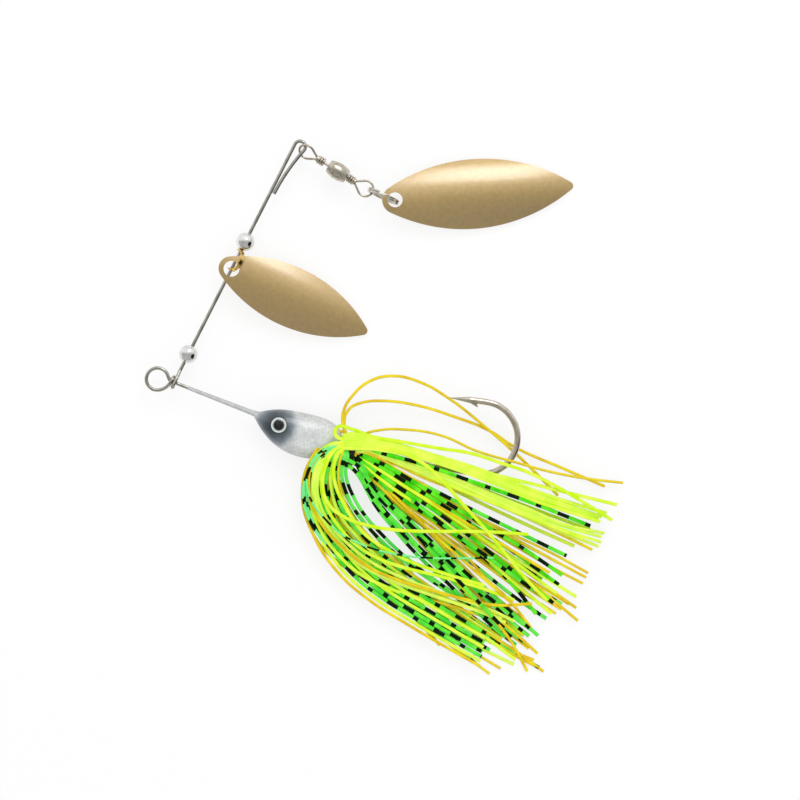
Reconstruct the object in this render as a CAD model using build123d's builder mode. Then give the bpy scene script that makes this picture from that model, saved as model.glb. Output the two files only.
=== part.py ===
"""Spinnerbait: bent-wire frame, cast minnow head on a hook, silicone skirt, two willow blades.

Millimetres. Origin at the centre of the line tie. The wire frame lies in the XY plane, the hook
shank runs along +X, and +Z is the side of the lure that faces up when it lies on a table.
"""
import math
import os

from build123d import *

# ---- wire frame -----------------------------------------------------------------------------
WIRE_D = 1.0
TIE_R = 3.1                                     # centreline radius of the line tie
LOWER_ARM_DEG = -10.2
LOWER_ARM_POINT = Vector(6.0, -0.25)
UPPER_ARM_DEG = 74.1
UPPER_ARM_POINT = Vector(7.2, 8.5)
WRAP_PITCH = WIRE_D + 0.06
WRAP_R = 1.45                                   # loose turn round the lower arm
WRAP_START = -2.0                               # along the lower arm, from its named point
WRAP_TURNS = 1
HAIRPIN_R = 1.55
HAIRPIN_Y = 71.9                                # where the upper arm starts to turn back
HAIRPIN_TURN = 195.0
RETURN_LEG_Y = 57.4
RETURN_GAP = 0.08                               # return leg to upper arm, surface to surface

# ---- hook -----------------------------------------------------------------------------------
HOOK_D = 1.8
SHANK_Y = -9.0
HOOK_EYE_R = 2.0                                # centreline
HOOK_EYE_X = 41.9
BEND_X = 92.2
BEND_R = 10.15
POINT_SHAFT_END = Vector(86.9, 10.95)
POINT_TIP = Vector(81.2, 10.5)
BARB_TIP = Vector(89.6, 9.25)

# ---- head -----------------------------------------------------------------------------------
# station X, top Y, bottom Y, half width
HEAD_STATIONS = (
    (28.7, -3.75, -5.35, 0.85),
    (31.6, -2.8, -8.7, 2.75),
    (36.0, -1.65, -11.9, 4.0),
    (41.0, -1.4, -13.6, 4.3),
    (46.0, -1.6, -13.8, 4.15),
    (50.5, -2.6, -13.0, 3.5),
    (53.6, -4.9, -12.1, 2.7),
)
NECK_R = 2.6
NECK_END_X = 60.4
NECK_LIP_R = 2.75
NECK_LIP_L = 0.6
CAST_FIT = 0.02                                 # casting to the wire and hook it is poured round

# ---- eyes -----------------------------------------------------------------------------------
EYE_X = 36.0
EYE_Y = -6.1
EYE_R = 2.35
EYE_SEAT_Z = 3.3
FOIL_T = 0.15
DOME_EDGE_H = 0.2
DOME_H = 1.05
EYE_FIT = 0.03

# ---- skirt ----------------------------------------------------------------------------------
BAND_X = 57.1
BAND_L = 2.4
BAND_T = 0.55
STRAND_W = 0.8
STRAND_T = 0.6
STRAND_COUNT = 16
STRAND_REACH = math.hypot(STRAND_W, STRAND_T) / 2
STRAND_R = NECK_LIP_R + STRAND_REACH + 0.12
GRIP_OUT = 0.5                                  # straight run kept past each end of the band
GRIP_BEND = 1.6
BAND_IN_R = STRAND_R + STRAND_REACH + 0.02

# ---- swivel ---------------------------------------------------------------------------------
SWIVEL_START = Vector(28.9, 70.4)               # centre of the top eye
SWIVEL_DEG = -20.9
SWIVEL_L = 19.4                                 # eye centre to eye centre
SWIVEL_WIRE = 0.66
TOP_EYE_R = 2.2
TOP_EYE_TILT = 42.0
BOTTOM_EYE_R = 2.17
BARREL_L = 6.0
BARREL_R = 2.42
BARREL_END_R = 1.75
BARREL_MID = 10.35
BARREL_WALL = 0.55
EYE_NECK = 3.8                                  # eye centre to the start of its wrapped neck
STEM_R = 0.42
STEM_HEAD_R = 0.85
STEM_FIT = 0.05
NECK_WRAP_R = 1.25
NECK_WRAP_L = 2.1
WRAPS = 3

# ---- split ring -----------------------------------------------------------------------------
RING_C = Vector(52.3, 62.35, 0)
RING_DEG = -14.0
RING_R = 4.5                                    # centreline
RING_WIRE = 0.64
RING_STEP = 0.34                                # half the distance between the two coils
RING_JOG = 24.0

# ---- blades ---------------------------------------------------------------------------------
BLADE_L = 55.0
BLADE_W = 19.6
BLADE_T = 0.6
BLADE_CUP = 3.0
BLADE_BOW = 1.9
BLADE_HOLE_R = 2.1
BLADE_HOLE_X = 3.6
BLADE_AT = Vector(55.75, 61.95, 0.1)            # hole centre
BLADE_DEG = 16.0
BLADE_PITCH = 4.7
SMALL_L = 46.5
SMALL_W = 16.8
SMALL_T = 0.55
SMALL_CUP = 2.0
SMALL_BOW = 1.8
SMALL_HOLE_R = 2.2
SMALL_AT = Vector(14.6, 34.2, 1.65)
SMALL_DEG = -14.0
SMALL_PITCH = 7.6
TIP_R = 1.2                                     # rounding of both blades' tips

# ---- beads and clevis -----------------------------------------------------------------------
BEAD_R = 2.6
BEAD_BORE_R = WIRE_D / 2 + 0.01
BEAD_LOWER_Y = 8.5
BEAD_UPPER_Y = 42.4
CLEVIS_MID_Y = 36.8                             # middle of the bow, on the upper arm
CLEVIS_SPAN = 5.8                               # ear centre to ear centre along the wire
CLEVIS_APEX = 3.25                              # wire axis to the middle of the bow
CLEVIS_LEAN = 60.0                              # out of the frame plane
CLEVIS_W = 1.0
CLEVIS_T = 0.45
CLEVIS_EAR_R = 1.15
CLEVIS_FIT = 0.06


def unit(deg):
    return Vector(math.cos(math.radians(deg)), math.sin(math.radians(deg)))


def sagitta_radius(chord, sag):
    return ((chord / 2) ** 2 + sag**2) / (2 * sag)


LOWER_DIR = unit(LOWER_ARM_DEG)
UPPER_DIR = unit(UPPER_ARM_DEG)
UPPER_SIDE = unit(UPPER_ARM_DEG - 90)
SWIVEL_DIR = unit(SWIVEL_DEG)
SWIVEL_SIDE = unit(SWIVEL_DEG + 90)


def on_lower_arm(t):
    return LOWER_ARM_POINT + LOWER_DIR * t


def on_upper_arm(y):
    return UPPER_ARM_POINT + UPPER_DIR * ((y - UPPER_ARM_POINT.Y) / UPPER_DIR.Y)


def axis_plane(origin, along, up=Vector(0, 0, 1)):
    """Plane whose z runs along the given axis and whose x is the given up direction."""
    return Plane(origin=origin, x_dir=up, z_dir=along)


def emit(name, part):
    part.label = name
    export_step(part, f"parts/{name}.step")


# ---- wire frame: one length of wire from the hook eye inside the head to the return leg -------
def frame_path():
    u_turn = WIRE_D / 2 + HOOK_D / 2 + 0.08
    rim = Vector(HOOK_EYE_X - HOOK_EYE_R, SHANK_Y)
    inside_deg = -17.0
    inside = unit(inside_deg)
    above_rim = rim + unit(inside_deg + 90) * u_turn
    below_rim = rim - unit(inside_deg + 90) * u_turn
    nose = on_lower_arm(23.3)
    side = unit(LOWER_ARM_DEG + 90)
    wrap_in = on_lower_arm(WRAP_START)
    wrap_out = on_lower_arm(WRAP_START + WRAP_TURNS * WRAP_PITCH)
    climb = Vector(0, 0, WRAP_R)
    wrap_slope = WRAP_PITCH / (2 * math.pi * WRAP_R)
    wrap_dir = side + LOWER_DIR * wrap_slope
    wraps = []
    for i in range(12 * WRAP_TURNS + 1):
        phase = math.radians(30 * i)
        centre = on_lower_arm(WRAP_START + WRAP_PITCH * i / 12)
        wraps.append(centre + climb * math.cos(phase) + side * WRAP_R * math.sin(phase))
    arm_end = on_lower_arm(-1.9)
    loop_in_deg = 28.0
    loop_in = unit(loop_in_deg) * TIE_R
    loop_span = 262.0
    loop_out = unit(loop_in_deg + loop_span) * TIE_R
    rise_end = on_upper_arm(4.2)
    turn = on_upper_arm(HAIRPIN_Y)
    leg_end = on_upper_arm(RETURN_LEG_Y) + UPPER_SIDE * (WIRE_D + RETURN_GAP)
    with BuildLine() as path:
        Line(below_rim - inside * 1.2, below_rim)
        ThreePointArc(below_rim, rim + inside * u_turn, above_rim)
        Line(above_rim, nose + inside * 2.0)
        Spline(nose + inside * 2.0, nose - LOWER_DIR * 1.0, tangents=(inside * -1, LOWER_DIR * -1))
        Line(nose - LOWER_DIR * 1.0, arm_end)
        Spline(arm_end, loop_in, tangents=(LOWER_DIR * -1, unit(loop_in_deg + 90)))
        CenterArc((0, 0), TIE_R, loop_in_deg, loop_span)
        Spline(
            loop_out,
            wrap_in + climb,
            tangents=(unit(loop_in_deg + loop_span + 90), wrap_dir),
            tangent_scalars=(1.1, 0.9),
        )
        Spline(*wraps, tangents=(wrap_dir, wrap_dir))
        Spline(wrap_out + climb, rise_end, tangents=(wrap_dir, UPPER_DIR))
        Line(rise_end, turn)
        bend = JernArc(turn, UPPER_DIR, HAIRPIN_R, -HAIRPIN_TURN)
        Spline(bend @ 1, leg_end, tangents=(bend % 1, UPPER_DIR * -1))
    return path


def make_wire_frame():
    path = frame_path()
    start = path.wires()[0]
    with BuildPart() as wire:
        with BuildSketch(Plane(origin=start @ 0, z_dir=start % 0)):
            Circle(WIRE_D / 2)
        sweep(path=start)
    return wire.part


# ---- hook: eye, shank, round bend, tapered point with a barb ----------------------------------
def make_hook():
    bend_c = Vector(BEND_X, SHANK_Y + BEND_R)
    bend_top = bend_c + Vector(0, BEND_R)
    eye_c = Vector(HOOK_EYE_X, SHANK_Y)
    shaft_dir = (POINT_SHAFT_END - bend_top).normalized()
    with BuildPart() as hook:
        with BuildLine() as path:
            Line(eye_c + Vector(HOOK_EYE_R, 0), Vector(BEND_X, SHANK_Y))
            CenterArc(bend_c, BEND_R, -90, 165)
            last = path.wires()[0]
            Spline(
                last @ 1 if (last @ 1).Y > 0 else last @ 0,
                POINT_SHAFT_END,
                tangents=(unit(165), shaft_dir),
            )
        with BuildSketch(Plane(origin=eye_c + Vector(HOOK_EYE_R, 0), z_dir=(1, 0, 0))):
            Circle(HOOK_D / 2)
        sweep(path=path.wires()[0])
        with BuildSketch(Plane(origin=POINT_SHAFT_END, z_dir=shaft_dir)):
            Circle(HOOK_D / 2)
        with BuildSketch(Plane(origin=POINT_TIP, z_dir=shaft_dir)):
            Circle(0.08)
        loft()
        with Locations(Location(eye_c, (90, 0, 0))):
            Torus(HOOK_EYE_R, HOOK_D / 2)
        with BuildSketch():
            with BuildLine():
                Polyline(
                    BARB_TIP,
                    BARB_TIP + Vector(-4.3, 1.55),
                    BARB_TIP + Vector(-0.6, 1.75),
                    close=True,
                )
            make_face()
        extrude(amount=0.35, both=True)
    return hook.part


# ---- head: lofted minnow body, rounded rear, grooved neck, eye seats, cast-in wire and hook ---
def make_head(wire, hook):
    with BuildPart() as head:
        for x, top, bottom, half in HEAD_STATIONS:
            plane = Plane(origin=(x, (top + bottom) / 2, 0), x_dir=(0, 1, 0), z_dir=(1, 0, 0))
            with BuildSketch(plane):
                Ellipse((top - bottom) / 2, half)
        loft()
        front = head.faces().sort_by(Axis.X)[0]
        fillet(front.edges(), 0.5)
        back = head.faces().sort_by(Axis.X)[-1]
        fillet(back.edges(), 1.3)
        neck_start = HEAD_STATIONS[-1][0] - 1.0
        with BuildSketch(Plane(origin=(neck_start, SHANK_Y, 0), z_dir=(1, 0, 0))):
            Circle(NECK_R)
        extrude(amount=NECK_END_X - neck_start)
        with BuildSketch(Plane(origin=(NECK_END_X - NECK_LIP_L, SHANK_Y, 0), z_dir=(1, 0, 0))):
            Circle(NECK_LIP_R)
        extrude(amount=NECK_LIP_L)
        for side in (1, -1):
            seat = Plane(origin=(EYE_X, EYE_Y, side * EYE_SEAT_Z), z_dir=(0, 0, side))
            with BuildSketch(seat):
                Circle(EYE_R + EYE_FIT)
            extrude(amount=3.0, mode=Mode.SUBTRACT)
        add(wire, mode=Mode.SUBTRACT)
        add(hook, mode=Mode.SUBTRACT)
    return head.part


# ---- eyes: printed foil disc with a clear domed cap -------------------------------------------
def make_eye_foil(side):
    plane = Plane(origin=(EYE_X, EYE_Y, side * EYE_SEAT_Z), z_dir=(0, 0, side))
    with BuildPart() as foil:
        with BuildSketch(plane):
            Circle(EYE_R)
        extrude(amount=FOIL_T)
    return foil.part


def make_eye_dome(side):
    base = EYE_SEAT_Z + FOIL_T
    cap_r = sagitta_radius(2 * EYE_R, DOME_H - DOME_EDGE_H)
    with BuildPart() as dome:
        with BuildSketch(Plane(origin=(EYE_X, EYE_Y, side * base), z_dir=(0, 0, side))):
            Circle(EYE_R)
        extrude(amount=DOME_H)
        with Locations((EYE_X, EYE_Y, side * (base + DOME_H - cap_r))):
            Sphere(cap_r, mode=Mode.INTERSECT)
    return dome.part


# ---- skirt -----------------------------------------------------------------------------------
def make_band():
    with BuildPart() as band:
        with BuildSketch(Plane(origin=(BAND_X - BAND_L / 2, SHANK_Y, 0), z_dir=(1, 0, 0))):
            Circle(BAND_IN_R + BAND_T)
            Circle(BAND_IN_R, mode=Mode.SUBTRACT)
        extrude(amount=BAND_L)
        fillet(band.edges().filter_by(GeomType.CIRCLE), 0.2)
    return band.part


def between(first, last, t):
    return Vector(*first) + (Vector(*last) - Vector(*first)) * t


def strand_runs(index):
    """Seat under the band, and the way points of the rear and front runs."""
    phi = unit(360.0 / STRAND_COUNT * (index + 0.5))
    radial = Vector(0, phi.X, phi.Y)
    seat = Vector(BAND_X, SHANK_Y, 0) + radial * STRAND_R
    half = STRAND_COUNT // 2
    upper = index < half
    t = (index if upper else STRAND_COUNT - 1 - index) / (half - 1)
    if upper:
        rear = [
            between((78, -7.4, 2.2), (70, -21, 2.2), t),
            between((104, -8.5, 1.9), (86, -34, 1.9), t),
            between((133, -10, 0.2), (107, -49, 0.2), t),
        ]
    else:
        rear = [
            between((78, -7.4, -2.6), (70, -21, -2.6), t),
            between((104, -10.5, -3.3), (87, -36, -3.3), t),
            between((131, -13, -4.0), (106, -51, -4.0), t),
        ]
    over_head = Vector(0, 0, 1.3 * math.sin(math.pi * t))
    flare = seat - Vector(3.4, 0, 0) + radial * (1.5 if upper else 0.75)
    if upper:
        front = [
            flare,
            between((49.2, -4.9, 5.3), (53.6, -15.9, 1.5), t) + over_head,
            between((44.0, -15.5, 3.7), (55.4, -20.6, 0.6), t),
            between((44.6, -31.0, 0.6), (56.0, -28.0, -0.6), t),
            between((60.5, -49.5, -0.6), (69.5, -40.5, -1.3), t),
            between((104.5, -63.0, -1.6), (104.0, -52.5, -1.6), t),
        ]
    elif index <= half + 4:
        t = (index - half) / 4
        front = [
            flare,
            between((54.3, -14.9, -1.6), (49.2, -14.0, -3.9), t),
            between((57.2, -21.5, -3.2), (50.0, -21.0, -3.9), t),
            between((67.0, -31.0, -3.6), (60.0, -35.5, -3.9), t),
            between((98.0, -52.5, -3.9), (92.0, -58.5, -4.1), t),
        ]
    else:
        t = (STRAND_COUNT - 1 - index) / 2
        front = [
            flare,
            between((54.2, -0.8, -1.8), (55.2, -3.6, -4.0), t),
            between((57.5, 7.5, -3.0), (60.0, -1.0, -3.8), t),
            between((68.0, 13.4, -3.6), (67.0, -2.2, -3.6), t),
            between((99.0, 4.5, -3.2), (97.0, -7.6, -3.7), t),
            between((133.0, -2.8, -2.4), (117.0, -9.6, -3.9), t),
        ]
    return seat, rear, front


def corner_radii(points):
    """Largest tangent arcs that the runs on either side of each corner leave room for."""
    radii = []
    for before, corner, after in zip(points, points[1:], points[2:]):
        turn = math.radians((corner - before).get_angle(after - corner))
        run = min((corner - before).length, (after - corner).length)
        radii.append(0.45 * run / math.tan(turn / 2))
    return radii


def make_strand(index):
    seat, rear, front = strand_runs(index)
    grip = Vector(BAND_L / 2 + GRIP_OUT, 0, 0)
    route = [*reversed(rear), seat + grip, seat - grip, *front]
    radii = corner_radii(route)
    for corner in (len(rear) - 1, len(rear)):
        radii[corner] = min(radii[corner], GRIP_BEND)
    with BuildPart() as strand:
        with BuildLine() as path:
            FilletPolyline(*route, radius=radii)
        run = path.wires()[0]
        level = (run % 0).cross(Vector(0, 0, 1))
        with BuildSketch(Plane(origin=run @ 0, x_dir=level, z_dir=run % 0)):
            Rectangle(STRAND_W, STRAND_T)
        sweep(path=run)
    return strand.part


def make_strands(indices):
    return Compound(children=[make_strand(i) for i in indices])


# ---- beads and clevis on the upper arm --------------------------------------------------------
def make_bead(y):
    centre = on_upper_arm(y)
    with BuildPart() as bead:
        with Locations(Location(centre)):
            Sphere(BEAD_R)
        with BuildSketch(axis_plane(centre, UPPER_DIR)):
            Circle(BEAD_BORE_R)
        extrude(amount=BEAD_R + 1, both=True, mode=Mode.SUBTRACT)
    return bead.part


def make_clevis():
    lean = math.radians(CLEVIS_LEAN)
    outward = UPPER_SIDE * math.cos(lean) + Vector(0, 0, 1) * math.sin(lean)
    centre = on_upper_arm(CLEVIS_MID_Y)
    sheet = Plane(origin=centre, x_dir=UPPER_DIR, z_dir=UPPER_DIR.cross(outward))
    half = CLEVIS_SPAN / 2
    spring = CLEVIS_APEX - half
    with BuildPart() as clevis:
        with BuildSketch(sheet):
            with BuildLine() as mid:
                Line((-half, -CLEVIS_EAR_R), (-half, spring))
                ThreePointArc((-half, spring), (0, CLEVIS_APEX), (half, spring))
                Line((half, spring), (half, -CLEVIS_EAR_R))
            trace(line_width=CLEVIS_T)
        extrude(amount=CLEVIS_W / 2, both=True)
        for end in (-half, half):
            with BuildSketch(axis_plane(centre + UPPER_DIR * (end - CLEVIS_T / 2), UPPER_DIR, outward)):
                Circle(CLEVIS_EAR_R)
            extrude(amount=CLEVIS_T)
        with BuildSketch(axis_plane(centre, UPPER_DIR)):
            Circle(WIRE_D / 2 + CLEVIS_FIT)
        extrude(amount=half + 1, both=True, mode=Mode.SUBTRACT)
    return clevis.part


# ---- blades: willow outline cut from a sheet cupped across and bowed along ---------------------
def make_blade(length, width, thick, cup, bow, hole_r, tip_r, at, heading, pitch):
    cross_r = sagitta_radius(width, cup)
    long_r = sagitta_radius(length, bow)
    reach = math.degrees(math.asin(length / 2 / long_r)) + 2
    skirt_z = math.sqrt(cross_r**2 - (width / 2 + 1.5) ** 2) - cross_r
    lead = math.radians(reach)
    side_plane = Plane(
        origin=(-long_r * math.sin(lead), 0, long_r * math.cos(lead) - long_r),
        x_dir=(0, 1, 0),
        z_dir=(math.cos(lead), 0, math.sin(lead)),
    )
    end_r = width * 0.2
    end_x = end_r - length / 2
    shoulder = Vector(end_x, 0) + unit(122) * end_r
    hole_x = BLADE_HOLE_X - length / 2
    hole_z = math.sqrt(long_r**2 - hole_x**2) - long_r
    with BuildPart() as blade:
        with BuildSketch(side_plane):
            with Locations((0, -cross_r)):
                Circle(cross_r + thick / 2)
                Circle(cross_r - thick / 2, mode=Mode.SUBTRACT)
            with Locations((0, skirt_z)):
                Rectangle(
                    3 * cross_r, 3 * cross_r, align=(Align.CENTER, Align.MAX), mode=Mode.SUBTRACT
                )
        revolve(axis=Axis((0, 0, -long_r), (0, 1, 0)), revolution_arc=2 * reach)
        with BuildSketch(Plane.XY.offset(-long_r / 4)) as cut:
            with BuildLine():
                ThreePointArc((length / 2, 0), (-0.03 * length, width / 2), shoulder)
                ThreePointArc(shoulder, (-length / 2, 0), Vector(shoulder.X, -shoulder.Y))
                ThreePointArc(
                    Vector(shoulder.X, -shoulder.Y), (-0.03 * length, -width / 2), (length / 2, 0)
                )
            make_face()
            tip = cut.vertices().sort_by(Axis.X)[-1]
            fillet(tip, tip_r)
            with Locations((hole_x, 0)):
                Circle(hole_r, mode=Mode.SUBTRACT)
        extrude(amount=long_r / 2, mode=Mode.INTERSECT)
    to_hole = Location((-hole_x, 0, -hole_z))
    return blade.part.moved(Location(at) * Location((0, 0, 0), (0, 0, heading)) * Location((0, 0, 0), (0, pitch, 0)) * to_hole)


# ---- swivel: barrel with a stem eye turning in each end ----------------------------------------
def make_barrel():
    plane = Plane(origin=SWIVEL_START, x_dir=SWIVEL_DIR, z_dir=(0, 0, 1))
    left = BARREL_MID - BARREL_L / 2
    right = BARREL_MID + BARREL_L / 2
    bore = STEM_R + STEM_FIT
    cavity = STEM_HEAD_R + 0.25
    with BuildPart() as barrel:
        with BuildSketch(plane):
            with BuildLine():
                Polyline((right, BARREL_END_R), (right, bore), (right - BARREL_WALL, bore))
                Polyline((right - BARREL_WALL, bore), (right - BARREL_WALL, cavity))
                Line((right - BARREL_WALL, cavity), (left + BARREL_WALL, cavity))
                Polyline((left + BARREL_WALL, cavity), (left + BARREL_WALL, bore), (left, bore))
                Line((left, bore), (left, BARREL_END_R))
                ThreePointArc((left, BARREL_END_R), (BARREL_MID, BARREL_R), (right, BARREL_END_R))
            make_face()
        revolve(axis=Axis(SWIVEL_START, SWIVEL_DIR))
    return barrel.part


def make_swivel_eye(centre, along, ring_r, tilt, face):
    """Teardrop wire eye with a wrapped neck, and a headed stem that turns inside the barrel."""
    flat = Plane(origin=centre, x_dir=along, z_dir=(0, 0, 1))
    lean = math.radians(tilt)
    across = Vector(0, 0, 1).cross(along)
    normal = Vector(0, 0, 1) * math.cos(lean) - across * math.sin(lean)
    side = normal.cross(along)
    wide = math.acos(ring_r / EYE_NECK)
    touch = ring_r * math.cos(wide)
    out = ring_r * math.sin(wide)
    pitch = NECK_WRAP_L / WRAPS
    valley = NECK_WRAP_R - 0.3
    neck_end = EYE_NECK + NECK_WRAP_L
    head_at = face + BARREL_WALL + STEM_FIT
    with BuildPart() as eye:
        with BuildLine() as loop:
            Line(centre + along * EYE_NECK, centre + along * touch + side * out)
            ThreePointArc(
                centre + along * touch + side * out,
                centre - along * ring_r,
                centre + along * touch - side * out,
            )
            Line(centre + along * touch - side * out, centre + along * EYE_NECK)
        run = loop.wires()[0]
        with BuildSketch(Plane(origin=run @ 0, z_dir=run % 0)):
            Circle(SWIVEL_WIRE / 2)
        sweep(path=run, transition=Transition.ROUND)
        with BuildSketch(flat):
            with BuildLine():
                Line((EYE_NECK - 0.4, 0), (EYE_NECK - 0.4, valley))
                Line((EYE_NECK - 0.4, valley), (EYE_NECK, valley))
                for i in range(WRAPS):
                    a = EYE_NECK + i * pitch
                    ThreePointArc((a, valley), (a + pitch / 2, NECK_WRAP_R), (a + pitch, valley))
                Polyline((neck_end, valley), (neck_end, STEM_R), (head_at, STEM_R))
                Polyline((head_at, STEM_R), (head_at, STEM_HEAD_R), (head_at + 0.8, STEM_HEAD_R))
                Polyline((head_at + 0.8, STEM_HEAD_R), (head_at + 0.8, 0), (EYE_NECK - 0.4, 0))
            make_face()
        revolve(axis=Axis(centre, along))
    return eye.part


# ---- split ring: two flat coils joined by one jog ----------------------------------------------
def make_split_ring():
    radial = unit(RING_DEG)
    side = radial.cross(Vector(0, 0, 1))
    half_jog = RING_JOG / 2

    def at(deg, level):
        turn = unit(deg)
        return RING_C + radial * (RING_R * turn.X) + Vector(0, 0, RING_R * turn.Y) + side * level

    def heading(deg):
        turn = unit(deg + 90)
        return radial * turn.X + Vector(0, 0, turn.Y)

    start = 90 + half_jog + 4
    jog = 450 - half_jog
    end = jog + RING_JOG + 360 - RING_JOG - 4
    with BuildPart() as ring:
        with BuildLine() as path:
            ThreePointArc(at(start, -RING_STEP), at((start + jog) / 2, -RING_STEP), at(jog, -RING_STEP))
            Spline(
                at(jog, -RING_STEP),
                at(jog + half_jog, 0),
                at(jog + RING_JOG, RING_STEP),
                tangents=(heading(jog), heading(jog + RING_JOG)),
            )
            again = jog + RING_JOG
            ThreePointArc(at(again, RING_STEP), at((again + end) / 2, RING_STEP), at(end, RING_STEP))
        coil = path.wires()[0]
        with BuildSketch(Plane(origin=coil @ 0, z_dir=coil % 0)):
            Circle(RING_WIRE / 2)
        sweep(path=coil)
    return ring.part


def main():
    os.makedirs("parts", exist_ok=True)
    wire = make_wire_frame()
    hook = make_hook()
    emit("wire_frame", wire)
    emit("hook", hook)
    emit("head_casting", make_head(wire, hook))
    for name, side in (("left", 1), ("right", -1)):
        emit(f"eye_foil_{name}", make_eye_foil(side))
        emit(f"eye_dome_{name}", make_eye_dome(side))
    emit("skirt_band", make_band())
    emit("skirt_chartreuse", make_strands((0, 1, 2, 4, 6, 8, 12)))
    emit("skirt_barred_green", make_strands((3, 5, 7, 9, 11)))
    emit("skirt_gold", make_strands((10, 13, 14, 15)))
    emit("bead_lower", make_bead(BEAD_LOWER_Y))
    emit("bead_upper", make_bead(BEAD_UPPER_Y))
    emit("clevis", make_clevis())
    emit(
        "blade_small",
        make_blade(
            SMALL_L, SMALL_W, SMALL_T, SMALL_CUP, SMALL_BOW, SMALL_HOLE_R, TIP_R,
            SMALL_AT, SMALL_DEG, SMALL_PITCH,
        ),
    )
    bottom = SWIVEL_START + SWIVEL_DIR * SWIVEL_L
    top_face = BARREL_MID - BARREL_L / 2
    bottom_face = SWIVEL_L - BARREL_MID - BARREL_L / 2
    emit(
        "swivel_eye_top",
        make_swivel_eye(SWIVEL_START, SWIVEL_DIR, TOP_EYE_R, TOP_EYE_TILT, top_face),
    )
    emit("swivel_barrel", make_barrel())
    emit(
        "swivel_eye_bottom",
        make_swivel_eye(bottom, SWIVEL_DIR * -1, BOTTOM_EYE_R, 0.0, bottom_face),
    )
    emit("split_ring", make_split_ring())
    emit(
        "blade_large",
        make_blade(
            BLADE_L, BLADE_W, BLADE_T, BLADE_CUP, BLADE_BOW, BLADE_HOLE_R, TIP_R,
            BLADE_AT, BLADE_DEG, BLADE_PITCH,
        ),
    )


if __name__ == "__main__":
    main()
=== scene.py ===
"""Looks for a tandem willow-leaf spinnerbait that lies on a white table and is seen from above.

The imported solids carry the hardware: wire, hook, beads, clevis, swivel, ring and blades. This
file dresses them, paints the head and eyes, and models the soft silicone skirt.
"""

import logging
import math
import random
from dataclasses import dataclass, field
from enum import Enum
from typing import Any, Dict, List, Optional, Sequence, Tuple

import bmesh
import bpy
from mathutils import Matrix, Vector
from mathutils.kdtree import KDTree

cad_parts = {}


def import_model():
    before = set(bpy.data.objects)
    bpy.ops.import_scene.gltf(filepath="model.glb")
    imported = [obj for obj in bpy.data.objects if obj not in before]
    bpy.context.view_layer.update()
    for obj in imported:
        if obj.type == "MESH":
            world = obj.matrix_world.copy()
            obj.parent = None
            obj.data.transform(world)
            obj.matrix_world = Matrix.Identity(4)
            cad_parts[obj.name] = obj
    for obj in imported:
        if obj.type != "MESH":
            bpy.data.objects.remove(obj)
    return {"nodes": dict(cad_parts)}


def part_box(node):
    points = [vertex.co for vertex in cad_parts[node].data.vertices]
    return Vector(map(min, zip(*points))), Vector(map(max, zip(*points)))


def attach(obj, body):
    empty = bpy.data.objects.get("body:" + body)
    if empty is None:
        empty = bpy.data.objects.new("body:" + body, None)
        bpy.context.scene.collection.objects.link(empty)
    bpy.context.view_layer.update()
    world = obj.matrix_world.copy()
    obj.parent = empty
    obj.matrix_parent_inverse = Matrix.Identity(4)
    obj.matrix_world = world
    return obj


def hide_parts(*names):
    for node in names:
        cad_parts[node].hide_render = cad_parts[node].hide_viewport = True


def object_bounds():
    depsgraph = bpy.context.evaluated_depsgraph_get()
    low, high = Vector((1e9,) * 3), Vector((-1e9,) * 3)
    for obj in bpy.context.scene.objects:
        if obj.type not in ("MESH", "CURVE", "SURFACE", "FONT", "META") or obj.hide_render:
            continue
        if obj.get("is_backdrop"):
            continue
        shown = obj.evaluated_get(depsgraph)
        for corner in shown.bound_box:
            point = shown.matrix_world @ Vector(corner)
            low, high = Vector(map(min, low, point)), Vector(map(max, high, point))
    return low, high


LOG = logging.getLogger("spinnerbait")
MM = 0.001
# Length that counts as nothing.
TINY = 1e-9
# Share of the shorter run beside a corner that the corner's arc takes.
CORNER_SHARE = 0.45
Colour = Tuple[float, float, float, float]
Point = Tuple[float, float, float]
Ends = Tuple[float, float]
Guides = Tuple[Sequence[Point], Sequence[Point]]
Tree = bpy.types.NodeTree
Socket = bpy.types.NodeSocket


def rgb(code: str) -> Colour:
    """Turn an sRGB hex colour into linear RGBA.

    Args:
        code: Six hex digits, such as "c9ae73".

    Returns:
        Linear red, green and blue, and an alpha of 1.
    """
    channels = [int(code[i : i + 2], 16) / 255 for i in (0, 2, 4)]
    linear = [c / 12.92 if c <= 0.04045 else ((c + 0.055) / 1.055) ** 2.4 for c in channels]
    return (linear[0], linear[1], linear[2], 1.0)


WHITE = rgb("ffffff")


def per_metre(size_mm: float) -> float:
    """Return the texture scale whose pattern repeats every size_mm millimetres."""
    return 1.0 / (size_mm * MM)


def deselect_all() -> None:
    """Leave object mode with nothing selected."""
    bpy.ops.object.select_all(action="DESELECT")


# ---- shader nodes --------------------------------------------------------------


def set_inputs(node: bpy.types.Node, inputs: Dict[Any, Any]) -> None:
    """Give a node's inputs their values.

    Args:
        node: The shader node.
        inputs: Input sockets, by name or index, and a value or an output socket that feeds each.
    """
    for key, value in inputs.items():
        socket = node.inputs[key]
        if isinstance(value, Socket):
            socket.id_data.links.new(value, socket)
        else:
            socket.default_value = value


def add_node(
    tree: Tree, kind: str, settings: Optional[dict] = None, inputs: Optional[dict] = None
) -> bpy.types.Node:
    """Add one shader node with its settings and inputs.

    Args:
        tree: Node tree of the material.
        kind: Type name of the node.
        settings: Attributes of the node and their values.
        inputs: Input sockets, by name or index, and what each is given.

    Returns:
        The new node.
    """
    node = tree.nodes.new(kind)
    for key, value in (settings or {}).items():
        setattr(node, key, value)
    set_inputs(node, inputs or {})
    return node


def own_space(tree: Tree) -> Socket:
    """Return the place in the piece's own space, in metres."""
    return add_node(tree, "ShaderNodeTexCoord").outputs["Object"]


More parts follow.
